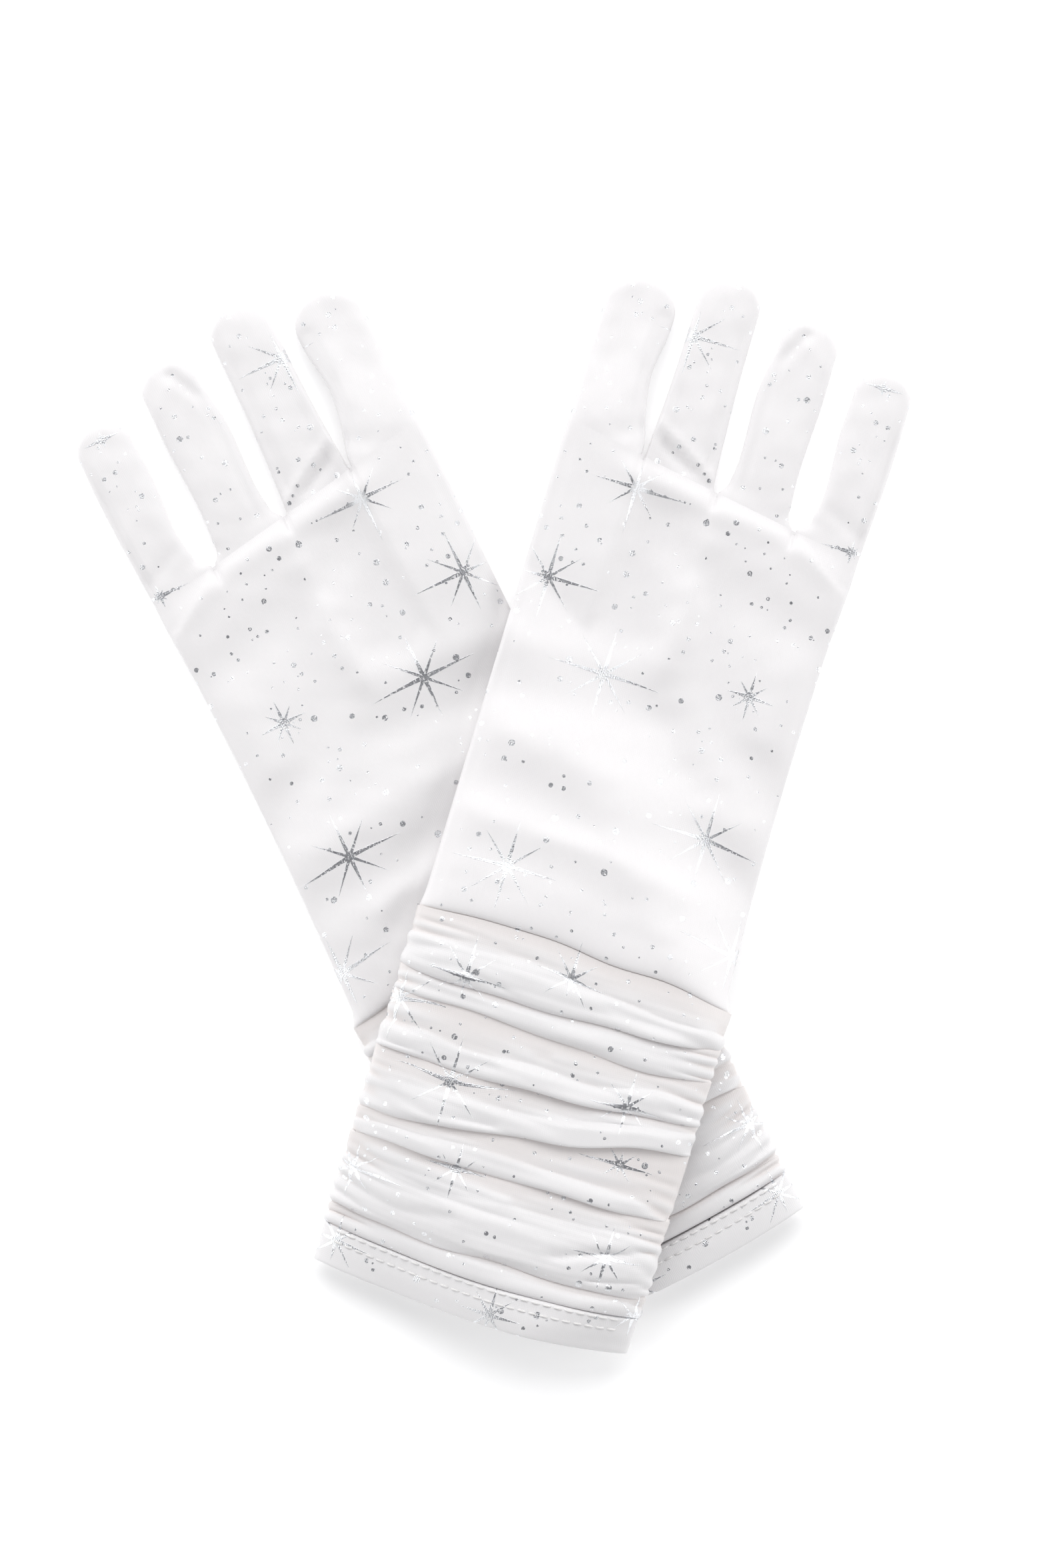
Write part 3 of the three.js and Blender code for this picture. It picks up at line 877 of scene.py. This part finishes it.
for side in SIDES:
    made[side, "thumb"] = make_thumb(side)
print("thumbs are", THUMB_HEIGHT, "mm high")

# %% [markdown]
# ## The cover stitch on the hem
# Two needle rows hold the hem up. Each stitch is a short piece of thread that dives into the cloth at
# both ends. A dashed line in a material would be flat in grazing light, so each is a small bent rod that
# takes its height from the satin below it.

# %% Find the top of the hem anywhere across
STITCH_ROWS = (6.1, 8.7)
STITCH_LENGTH = 2.3
STITCH_GAP = 0.5
THREAD_RADIUS = 0.24
STITCHED_SHARE = 0.95
POINTS_PER_STITCH = 6
THREAD_SIDES = 8


def hem_top(side, u, distance):
    u_rows, v_rows, top_rows, _, distances = (a[:OUTSIDE_ROWS][::-1] for a in hem_rows(side))
    flat = distances[:, 0]
    k = int(np.clip(np.searchsorted(flat, distance) - 1, 0, len(flat) - 2))
    t = (distance - flat[k]) / (flat[k + 1] - flat[k])
    return [lerp(np.interp(u, u_rows[k], row[k]), np.interp(u, u_rows[k + 1], row[k + 1]), t)
            for row in (v_rows, top_rows)]


# %% Sew the stitches
def rod(mesh, path, radius):
    rings = []
    for n, point in enumerate(path):
        ahead = path[min(n + 1, len(path) - 1)] - path[max(n - 1, 0)]
        ahead = ahead / np.linalg.norm(ahead)
        side_way = np.cross(ahead, (0, 0, 1))
        side_way /= np.linalg.norm(side_way)
        up = np.cross(side_way, ahead)
        size = radius * (0.55 if n in (0, len(path) - 1) else 1)
        ring = []
        for corner in range(THREAD_SIDES):
            angle = 2 * math.pi * corner / THREAD_SIDES
            ring.append(mesh.verts.new(point + size * (math.cos(angle) * side_way + math.sin(angle) * up)))
        rings.append(ring)
    for a, b in zip(rings[:-1], rings[1:]):
        for corner in range(THREAD_SIDES):
            after = (corner + 1) % THREAD_SIDES
            mesh.faces.new((a[corner], a[after], b[after], b[corner]))
    mesh.faces.new(rings[0][::-1])
    mesh.faces.new(rings[-1])


def make_stitch_row(side, number, distance):
    mesh = bmesh.new()
    reach = STITCHED_SHARE * SLEEVE_EDGES[1]
    starts = np.arange(-reach, reach - STITCH_LENGTH, STITCH_LENGTH + STITCH_GAP)
    for start in starts:
        u = start + np.linspace(0, STITCH_LENGTH, POINTS_PER_STITCH)
        v, height = hem_top(side, u, distance)
        lift = THREAD_RADIUS * (1.7 * np.sin(np.linspace(0, math.pi, POINTS_PER_STITCH)) ** 0.5 - 0.9)
        rod(mesh, in_metres(side, u, v, height + lift), THREAD_RADIUS / 1000)
    bmesh.ops.recalc_face_normals(mesh, faces=mesh.faces)
    data = bpy.data.meshes.new(f"{side}_cover_stitch_{number}")
    mesh.to_mesh(data)
    mesh.free()
    data.shade_smooth()
    return add_object(data.name, data), len(starts)


for side in SIDES:
    for number, distance in enumerate(STITCH_ROWS, 1):
        made[side, f"stitch {number}"], count = make_stitch_row(side, number, distance)
        print(side, "row", number, "has", count, "stitches")

# %% [markdown]
# ## The elastic tapes
# A flat elastic tape is sewn inside each side seam of the cuff. It is hidden unless the sleeve is opened,
# but it is what makes the folds, so it is modelled: a thin ribbed strip that lies on the palm's cloth and
# rides over its folds.

# %% Draw the tapes
TAPE_WIDTH = 3
TAPE_THICKNESS = 0.6
TAPE_INSET = 1.6
TAPE_OVER_CLOTH = 0.75
TAPE_COLUMNS = 7
TAPE_FIRST_ROW = 6
TAPE_ROWS_LEFT = 8
TAPE_ROW_STEP = 3


def make_tape(side, seam):
    u_rows, v_rows, _, bottom_rows, _ = cuff[side]
    near = TAPE_INSET + np.linspace(0, TAPE_WIDTH, TAPE_COLUMNS)
    across = SLEEVE_EDGES[0] + near if seam == "index" else SLEEVE_EDGES[1] - near
    points = []
    for row in range(TAPE_FIRST_ROW, len(u_rows) - TAPE_ROWS_LEFT, TAPE_ROW_STEP):
        v = np.interp(across, u_rows[row], v_rows[row])
        height = np.interp(across, u_rows[row], bottom_rows[row]) + TAPE_OVER_CLOTH
        points.append(in_metres(side, across, v, height))
    points = np.array(points)
    firsts = [i * TAPE_COLUMNS + j for i in range(len(points) - 1) for j in range(TAPE_COLUMNS - 1)]
    faces = [(n, n + 1, n + TAPE_COLUMNS + 1, n + TAPE_COLUMNS) for n in firsts]
    mesh = bpy.data.meshes.new(f"{side}_{seam}_elastic_tape")
    mesh.from_pydata(points.reshape(-1, 3).tolist(), [], faces)
    return thicken(add_object(mesh.name, mesh), TAPE_THICKNESS)


for side in SIDES:
    for seam in ("index", "little"):
        made[side, seam + " tape"] = make_tape(side, seam)
print("tapes:", TAPE_WIDTH, "x", TAPE_THICKNESS, "mm")

# %% [markdown]
# ## Tie the pieces to the model
# The hand, cuff, hem, tapes and stitching ride on their glove. A finger is cloth across a hinge, and so is
# the thumb's heel, but the fingers and the thumb are only left where they are drawn and ride on no body.
# The model's own parts for every piece are hidden.

# %% Ride and replace
BEND_START = 0.3
BEND_LENGTH = 9
STANDS_FOR = {
    "hand": ("hand_back", "hand_palm"),
    "cuff": ("sleeve_back", "sleeve_palm"),
    "hem": ("hem_back", "hem_palm"),
    "stitch 1": ("hem_stitch_row_1",),
    "stitch 2": ("hem_stitch_row_2",),
    "index tape": ("elastic_index_side",),
    "little tape": ("elastic_little_side",),
}
BENDS = {part: (part + "_back", part + "_palm") for part in ("thumb", *FINGERS)}


def bend_of(side, part):
    """Two places at the start and the end of the hinge where a piece leaves the hand."""
    if part == "thumb":
        reach = np.array([-THUMB_HEEL, THUMB_HEEL])
        u = THUMB_PIVOT[0] + reach * math.sin(THUMB_LEAN)
        return in_metres(side, u, THUMB_PIVOT[1] + reach * math.cos(THUMB_LEAN), 0 * reach)
    u = sum(FINGER_BASES[part]) / 2
    v = knuckle_line(u)
    height = ground(side, np.array(u), np.array(v)) + FINGER_HEIGHT / 2
    return in_metres(side, [u, u], [v + BEND_START, v + BEND_LENGTH], height)


for side in SIDES:
    for part, nodes in {**STANDS_FOR, **BENDS}.items():
        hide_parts(*(f"{side}_{node}" for node in nodes))
    for part in STANDS_FOR:
        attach(made[side, part], f"{side}_glove")
    for part in BENDS:
        start, end = (tuple(point) for point in bend_of(side, part))
        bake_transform(made[side, part])
print(len(made), "pieces tied")

# %% [markdown]
# ## Materials
# Everything is white, so the materials live on small things: the ribs of the knit, the soft sheen of
# satin, and the foil. Effects that are used more than once are node groups. A small helper makes groups
# and their nodes, so that each recipe below reads as a list of steps.


# %% Helpers for shader nodes
MIX_SOCKETS = {"FLOAT": (2, 3, 0), "VECTOR": (4, 5, 1), "RGBA": (6, 7, 2)}


def new_group(name, inputs, outputs):
    """An empty node group. A number makes a socket for values, None makes one for places."""
    group = bpy.data.node_groups.new(name, "ShaderNodeTree")
    for way, labels in (("INPUT", inputs), ("OUTPUT", outputs)):
        for label, value in labels.items():
            kind = "NodeSocketVector" if value is None else "NodeSocketFloat"
            socket = group.interface.new_socket(label, in_out=way, socket_type=kind)
            if value is not None:
                socket.default_value = value
    return group, group.nodes.new("NodeGroupInput").outputs, group.nodes.new("NodeGroupOutput")


def put(tree, node, socket, value):
    """Set one input of a node, or link it to another node's output."""
    if isinstance(value, bpy.types.NodeSocket):
        tree.links.new(value, node.inputs[socket])
    else:
        node.inputs[socket].default_value = value


def add_node(tree, kind, inputs, **settings):
    node = tree.nodes.new("ShaderNode" + kind)
    for setting, value in settings.items():
        setattr(node, setting, value)
    for socket, value in inputs.items():
        put(tree, node, socket, value)
    return node


def calculator(tree):
    """A short way to write the Math nodes of one tree."""
    def calc(operation, *values):
        return add_node(tree, "Math", dict(enumerate(values)), operation=operation).outputs[0]
    return calc


def vector_node(tree, operation, *values):
    node = add_node(tree, "VectorMath", dict(enumerate(values)), operation=operation)
    return node.outputs["Value" if operation == "DISTANCE" else "Vector"]


def parts_of(tree, vector):
    return add_node(tree, "SeparateXYZ", {0: vector}).outputs


def smooth_step(tree, value, low, high):
    inputs = {"Value": value, "From Min": low, "From Max": high}
    return add_node(tree, "MapRange", inputs, interpolation_type="SMOOTHSTEP").outputs["Result"]


def mix_node(tree, kind, factor, first, second):
    a, b, out = MIX_SOCKETS[kind]
    return add_node(tree, "Mix", {0: factor, a: first, b: second}, data_type=kind).outputs[out]


def noise_node(tree, vector, scale, detail=2.0, roughness=0.5):
    inputs = {"Vector": vector, "Scale": scale, "Detail": detail, "Roughness": roughness}
    return add_node(tree, "TexNoise", inputs).outputs["Fac"]


def group_in(tree, group, **values):
    inputs = {label.replace("_", " "): value for label, value in values.items()}
    return add_node(tree, "Group", inputs, node_tree=group).outputs


# %% [markdown]
# ## The knit
# Stretch satin is a warp knit: under a glass it shows fine ribs, about two to the millimetre, that run
# along the glove. The group turns the place on the cloth into a height between 0 and 1.

# %% Knit ribs
knit, given, gives = new_group("Knit ribs", {"Cloth": None, "Rib width": 0.45}, {"Height": 0.0})
calc = calculator(knit)
split = parts_of(knit, given["Cloth"])
sway = calc("MULTIPLY", noise_node(knit, given["Cloth"], 0.35, 1.0), 3.0)
rib_turns = calc("ADD", calc("DIVIDE", split["X"], given["Rib width"]), sway)
ribs = calc("SINE", calc("MULTIPLY", rib_turns, 2 * math.pi))
loop_turns = calc("DIVIDE", split["Y"], given["Rib width"])
loops = calc("SINE", calc("MULTIPLY", loop_turns, 2 * math.pi))
relief = calc("ADD", calc("MULTIPLY", ribs, 0.32), calc("MULTIPLY", loops, 0.12))
put(knit, gives, "Height", calc("ADD", relief, 0.5))
print("knit group has", len(knit.nodes), "nodes")

# %% [markdown]
# ## The foil stars
# The stars are foil pressed on the satin, each with eight thin rays. Foil could be cut out as separate
# films, but a shader keeps it as thin as it is. First the nearest star is chosen, by passing the
# best one so far down a chain of small groups; then one more group draws rays around it.

# %% Choose the nearest star
FAR = 1000.0
STAR = {"Centre": None, "Reach": None, "Tail": None}
choose, given, gives = new_group(
    "Nearer star",
    {"Cloth": None, "Nearest": FAR, **STAR, "This centre": None, "This reach": None, "This tail": None},
    {"Nearest": 0.0, **STAR},
)
calc = calculator(choose)
apart = vector_node(choose, "DISTANCE", given["Cloth"], given["This centre"])
nearer = calc("LESS_THAN", apart, given["Nearest"])
put(choose, gives, "Nearest", calc("MINIMUM", apart, given["Nearest"]))
for label in STAR:
    chosen = mix_node(choose, "VECTOR", nearer, given[label], given["This " + label.lower()])
    put(choose, gives, label, chosen)
print("chooser group has", len(choose.nodes), "nodes")

# %% Draw the rays of one star
RAY_WIDTH = 0.62
SLANT_RAY_WIDTH = 0.46
rays, given, gives = new_group("Star rays", {"Cloth": None, **STAR}, {"Mask": 0.0})
calc = calculator(rays)
offset = parts_of(rays, vector_node(rays, "SUBTRACT", given["Cloth"], given["Centre"]))
reach = parts_of(rays, given["Reach"])
tail = parts_of(rays, given["Tail"])
x, y = offset["X"], offset["Y"]
reach_across = mix_node(rays, "FLOAT", calc("GREATER_THAN", x, 0.0), reach["Z"], reach["X"])
reach_along = mix_node(rays, "FLOAT", calc("GREATER_THAN", y, 0.0), tail["X"], reach["Y"])
sum_xy = calc("MULTIPLY", calc("ADD", x, y), math.sqrt(0.5))
less_xy = calc("MULTIPLY", calc("SUBTRACT", x, y), math.sqrt(0.5))
nearest_ray = FAR
for along, across, length, width in (
    (x, y, reach_across, RAY_WIDTH),
    (y, x, reach_along, RAY_WIDTH),
    (sum_xy, less_xy, tail["Y"], SLANT_RAY_WIDTH),
    (less_xy, sum_xy, tail["Y"], SLANT_RAY_WIDTH),
):
    part_along = calc("DIVIDE", calc("ABSOLUTE", along), length)
    part_across = calc("DIVIDE", calc("ABSOLUTE", across), width)
    nearest_ray = calc("MINIMUM", calc("ADD", part_along, part_across), nearest_ray)
put(rays, gives, "Mask", smooth_step(rays, nearest_ray, 1.06, 0.94))
print("ray group has", len(rays.nodes), "nodes")

# %% [markdown]
# ## Where the stars are
# Each star has a place on the glove and the reach of its rays to the little-finger side, to the tips, to
# the index side, to the hem and on the slant. On the cuff the place is looked up on the folded cloth, so
# that a star drawn at a fold is the one that the fold shows.

# %% Place the stars on the flat cloth
STARS = [
    (-16.7, 244.8, 12.2, 6.5, 9, 10.3, 9.6),
    (-19.5, 204.7, 13.5, 6, 11.5, 11.8, 8.2),
    (-33.9, 177.6, 14, 11.6, 6.6, 10.6, 9.6),
    (-13.9, 158.4, 14.8, 11.8, 14.3, 10.9, 11),
    (22.1, 164.2, 6.5, 6.2, 6, 6, 5.2),
    (21.8, 127.8, 14.7, 12, 14.3, 10.3, 10.7),
    (-23.2, 106.3, 12.9, 11.7, 14.3, 11.4, 11),
    (36, 105, 6, 9, 14.5, 9, 9.8),
    (-0.3, 84.5, 9, 10, 9, 5, 8),
    (-25, 78, 11, 11, 10, 6, 9),
    (-39, 68.4, 14, 8, 8, 11, 11),
    (-21.4, 52.5, 16.4, 12, 14.6, 14, 11.5),
    (21.6, 58.5, 10, 9, 10, 9, 8),
    (24, 44.6, 9, 3, 11, 3, 5),
    (-13.9, 32.4, 8, 8, 8, 8, 6.5),
    (-38, 25, 13, 8, 6, 9, 8),
    (27.2, 22.1, 9, 9, 9, 9, 7.5),
    (4, 0.5, 8, 8, 8, 4, 7),
    (-37, 4, 9, 8, 6, 5, 8),
    (38, 8, 6, 7, 8, 6, 6),
    (32, 246, 5, 2, 5, 2, 1.5),
    (36, 205, 5, 3, 8, 3, 2),
]


def cloth_length_at(u, v):
    """How far up the flat cloth the place (u, v) of the right glove's back is."""
    u_rows, v_rows = cuff["right"][:2]
    if v >= v_rows[0].max():
        return v + EXTRA_CLOTH
    column = int(np.argmin(np.abs(u_rows[-1] - u)))
    run = cuff_run["right"][:, column]
    along = HEM_BAND + (cuff_cut - HEM_BAND) * (1 - run / run[-1])
    highest_first = v_rows[:, column]
    if v <= highest_first[-1]:
        return max(v + HEM_BOW, 0)
    return float(along[int(np.argmin(np.abs(highest_first - v)))])


stars_on_cloth = [(star[0], cloth_length_at(star[0], star[1])) + star[2:] for star in STARS]
lengths = [along for _, along, *_ in stars_on_cloth]
print("stars lie from", round(min(lengths), 1), "to", round(max(lengths), 1), "mm up the flat cloth")

# %% Build the star print
stars, given, gives = new_group("Star print", {"Cloth": None}, {"Mask": 0.0})
flat_cloth = vector_node(stars, "MULTIPLY", given["Cloth"], (1.0, 1.0, 0.0))
best = {}
for u, along, right_reach, up_reach, left_reach, down_reach, slant_reach in stars_on_cloth:
    step = group_in(stars, choose, Cloth=flat_cloth, This_centre=(u, along, 0),
                    This_reach=(right_reach, up_reach, left_reach), This_tail=(down_reach, slant_reach, 0),
                    **best)
    best = {label: step[label] for label in ("Nearest", *STAR)}
drawn = group_in(stars, rays, Cloth=flat_cloth, **{label: best[label] for label in STAR})
put(stars, gives, "Mask", drawn["Mask"])
print("star print with", len(stars_on_cloth), "stars")

# %% [markdown]
# ## The foil dots
# Between the stars lie dots, some alone and some in little groups. A cell texture gives each cell one
# point and one random colour, which sets whether the dot is there and how big it is.

# %% Foil dots
dots, given, gives = new_group(
    "Foil dots", {"Cloth": None, "Spacing": 8.0, "Smallest": 0.25, "Largest": 0.8, "Missing": 0.3},
    {"Mask": 0.0})
calc = calculator(dots)
cell_inputs = {"Vector": given["Cloth"], "Scale": calc("DIVIDE", 1.0, given["Spacing"])}
cells = add_node(dots, "TexVoronoi", cell_inputs, voronoi_dimensions="2D", feature="F1").outputs
luck = add_node(dots, "SeparateColor", {0: cells["Color"]}).outputs
radius = mix_node(dots, "FLOAT", calc("POWER", luck[0], 2.2), given["Smallest"], given["Largest"])
present = calc("GREATER_THAN", luck[1], given["Missing"])
inside = calc("LESS_THAN", calc("MULTIPLY", cells["Distance"], given["Spacing"]), radius)
put(dots, gives, "Mask", calc("MULTIPLY", inside, present))
print("dot group has", len(dots.nodes), "nodes")

# %% Foil that has cracked with the stretch of the cloth
CRACK_EDGE = 0.04
worn, given, gives = new_group(
    "Cracked foil", {"Cloth": None, "Mask": 0.0, "Loss": 0.4}, {"Mask": 0.0, "Crinkle": 0.0})
calc = calculator(worn)
stretched = vector_node(worn, "MULTIPLY", given["Cloth"], (2.6, 1.1, 0.0))
grain = noise_node(worn, stretched, 1.0, 3.0, 0.6)
kept = smooth_step(worn, grain, calc("SUBTRACT", given["Loss"], CRACK_EDGE), given["Loss"])
put(worn, gives, "Mask", calc("MULTIPLY", given["Mask"], kept))
put(worn, gives, "Crinkle", noise_node(worn, given["Cloth"], 2.4, 3.0, 0.7))
print("cracked foil group has", len(worn.nodes), "nodes")

# %% [markdown]
# ## Satin with foil
# One shader does both: where the mask says foil, it is a metal, and elsewhere a soft white cloth with a
# little sheen. It also paints shade into the folds: the deeper the satin lies in a fold, the darker and
# warmer its colour, as shade and warm light bounced between folds would make it. The mesh carries that
# depth as a value called recess.


# %% Satin
SILVER = (0.82, 0.83, 0.85, 1)
FOIL_ROUGHNESS = 0.24
CRINKLE_DEPTH = 5.0
SMALL_DOTS_SHIFT = (41.0, 17.0, 0.0)


def new_material(name):
    material = bpy.data.materials.new(name)
    material.use_nodes = True
    return material, material.node_tree, material.node_tree.nodes["Principled BSDF"]


def bumps(tree, shader, height, strength, depth):
    bump = add_node(tree, "Bump", {"Strength": strength, "Distance": depth, "Height": height})
    put(tree, shader, "Normal", bump.outputs["Normal"])


def satin(name, white, painted_fold_shade, roughness):
    material, tree, shader = new_material(name)
    calc = calculator(tree)
    cloth = add_node(tree, "UVMap", {}, uv_map="cloth").outputs["UV"]
    star = group_in(tree, stars, Cloth=cloth)["Mask"]
    single = group_in(tree, dots, Cloth=cloth, Spacing=7.6, Smallest=0.3, Largest=0.88, Missing=0.2)["Mask"]
    shifted = vector_node(tree, "ADD", cloth, SMALL_DOTS_SHIFT)
    small = group_in(tree, dots, Cloth=shifted, Spacing=3.2, Smallest=0.22, Largest=0.6, Missing=0.8)["Mask"]
    print_mask = calc("MAXIMUM", calc("MAXIMUM", star, single), small)
    foil = group_in(tree, worn, Cloth=cloth, Mask=print_mask, Loss=0.42)
    recess = add_node(tree, "Attribute", {}, attribute_name="recess").outputs["Fac"]
    # painted shade: the deeper a point lies in a fold (recess), the darker and warmer the satin's colour
    tint = mix_node(tree, "RGBA", smooth_step(tree, recess, 0.55, 1.0), white, painted_fold_shade)
    put(tree, shader, "Base Color", mix_node(tree, "RGBA", foil["Mask"], tint, SILVER))
    put(tree, shader, "Metallic", foil["Mask"])
    cloth_rough = calc("ADD", calc("MULTIPLY", noise_node(tree, cloth, 0.4, 2.0), 0.12), roughness)
    put(tree, shader, "Roughness", mix_node(tree, "FLOAT", foil["Mask"], cloth_rough, FOIL_ROUGHNESS))
    ribs_height = group_in(tree, knit, Cloth=cloth, Rib_width=0.45)["Height"]
    crinkled = calc("MULTIPLY", foil["Crinkle"], calc("MULTIPLY", foil["Mask"], CRINKLE_DEPTH))
    bumps(tree, shader, calc("ADD", ribs_height, crinkled), 0.5, 0.00005)
    shader.inputs["Sheen Weight"].default_value = 0.12
    shader.inputs["Sheen Roughness"].default_value = 0.4
    shader.inputs["Specular IOR Level"].default_value = 0.4
    return material


hand_satin = satin("White satin with foil", (0.815, 0.80, 0.805, 1), (0.76, 0.73, 0.715, 1), 0.42)
# The cuff and hem get a darker copy of the same satin: painted shade on the cuff.
cuff_satin = satin("Satin with foil and painted cuff shade", (0.775, 0.765, 0.77, 1), (0.76, 0.725, 0.715, 1), 0.42)
print("satin has", len(hand_satin.node_tree.nodes), "nodes")


# %% Elastic and thread
def fibre(name, colour, roughness, rib_width, depth):
    material, tree, shader = new_material(name)
    where = tree.nodes.new("ShaderNodeTexCoord").outputs["Object"]
    in_mm = vector_node(tree, "MULTIPLY", where, (1000.0, 1000.0, 1000.0))
    height = group_in(tree, knit, Cloth=in_mm, Rib_width=rib_width)["Height"]
    # painted shade: the grooves between the ribs are coloured darker than the rib tops
    dark = tuple(c * 0.9 for c in colour[:3]) + (1,)
    put(tree, shader, "Base Color", mix_node(tree, "RGBA", height, dark, colour))
    shader.inputs["Roughness"].default_value = roughness
    bumps(tree, shader, height, 0.7, depth)
    return material


elastic = fibre("White elastic", (0.78, 0.77, 0.75, 1), 0.8, 0.7, 0.0002)
thread = fibre("White thread", (0.82, 0.81, 0.80, 1), 0.55, 0.3, 0.00005)
print("elastic and thread made")

# %% Hand out the materials
# The cuff and hem take the darker satin with painted shade.
FINISHES = {"cuff": (cuff_satin, "cuff_satin"), "hem": (cuff_satin, "cuff_satin"),
            "tape": (elastic, "elastic"), "stitch": (thread, "thread")}
for (side, part), piece in made.items():
    material, slot = next((FINISHES[word] for word in FINISHES if word in part), (hand_satin, "satin"))
    piece.data.materials.clear()
    piece.data.materials.append(material)
print("materials on", len(made), "pieces")

# %% [markdown]
# ## How long the fingers are
# Each finger's length from its knuckle line to its tip is worked out here; nothing else is done with it.

for side in SIDES:
    for finger, (low, high) in FINGER_BASES.items():
        length = (FINGERS[finger]["tip"] - knuckle_line((low + high) / 2)) / 1000

# %% [markdown]
# ## The table, the light and the camera
# White on white needs gentle light from one side: a broad softbox beyond the fingertips, weaker ones on
# both sides, and a sky that is bright at the horizon and dim overhead, which the foil reflects as dark
# and light. The camera looks straight down.

# %% Table
bpy.ops.mesh.primitive_plane_add(size=6, location=(0, 0, -0.0004))
table = bpy.context.object
table.name = "table_top"
paper, tree, shader = new_material("White table")
shader.inputs["Base Color"].default_value = (0.95, 0.95, 0.95, 1)
shader.inputs["Roughness"].default_value = 0.9
shader.inputs["Emission Color"].default_value = (1, 1, 1, 1)
shader.inputs["Emission Strength"].default_value = 0.25
table.data.materials.append(paper)
print("table placed")


# %% Softboxes
def softbox(name, location, size, power):
    """A soft lamp that looks at the middle of the table."""
    light = bpy.data.lights.new(name, "AREA")
    light.shape = "RECTANGLE"
    light.size, light.size_y = size
    light.energy = power
    lamp = add_object(name, light)
    lamp.location = location
    x, y, z = location
    lamp.rotation_euler = (math.atan2(math.hypot(x, y), z), 0, math.atan2(x, -y))


softbox("key softbox", (0.0, 1.3, 1.5), (2.0, 1.2), 24)
softbox("left softbox", (-1.5, 0.1, 0.9), (1.0, 1.4), 8)
softbox("right softbox", (1.5, 0.1, 0.9), (1.0, 1.4), 8)
print("three softboxes")

# %% Sky
sky = bpy.data.worlds.new("Studio")
bpy.context.scene.world = sky
sky.use_nodes = True
tree = sky.node_tree
background = tree.nodes["Background"]
direction = tree.nodes.new("ShaderNodeTexCoord").outputs["Generated"]
overhead = smooth_step(tree, parts_of(tree, direction)["Z"], 0.15, 0.95)
put(tree, background, "Color", mix_node(tree, "RGBA", overhead, (1, 1, 1, 1), (0.12, 0.12, 0.13, 1)))
background.inputs["Strength"].default_value = 1.1
print("sky made")

# %% Camera
CAMERA_HEIGHT = 1.2
VIEW_TALL = 0.3881
SENSOR = 36
camera_data = bpy.data.cameras.new("camera")
camera_data.sensor_width = SENSOR
camera_data.lens = SENSOR * CAMERA_HEIGHT / VIEW_TALL
camera = add_object("camera", camera_data)
camera.location = (0.0071, 0.0071, CAMERA_HEIGHT)
bpy.context.scene.camera = camera
bpy.context.scene.view_settings.view_transform = "Standard"
print("lens", round(camera_data.lens, 1), "mm")
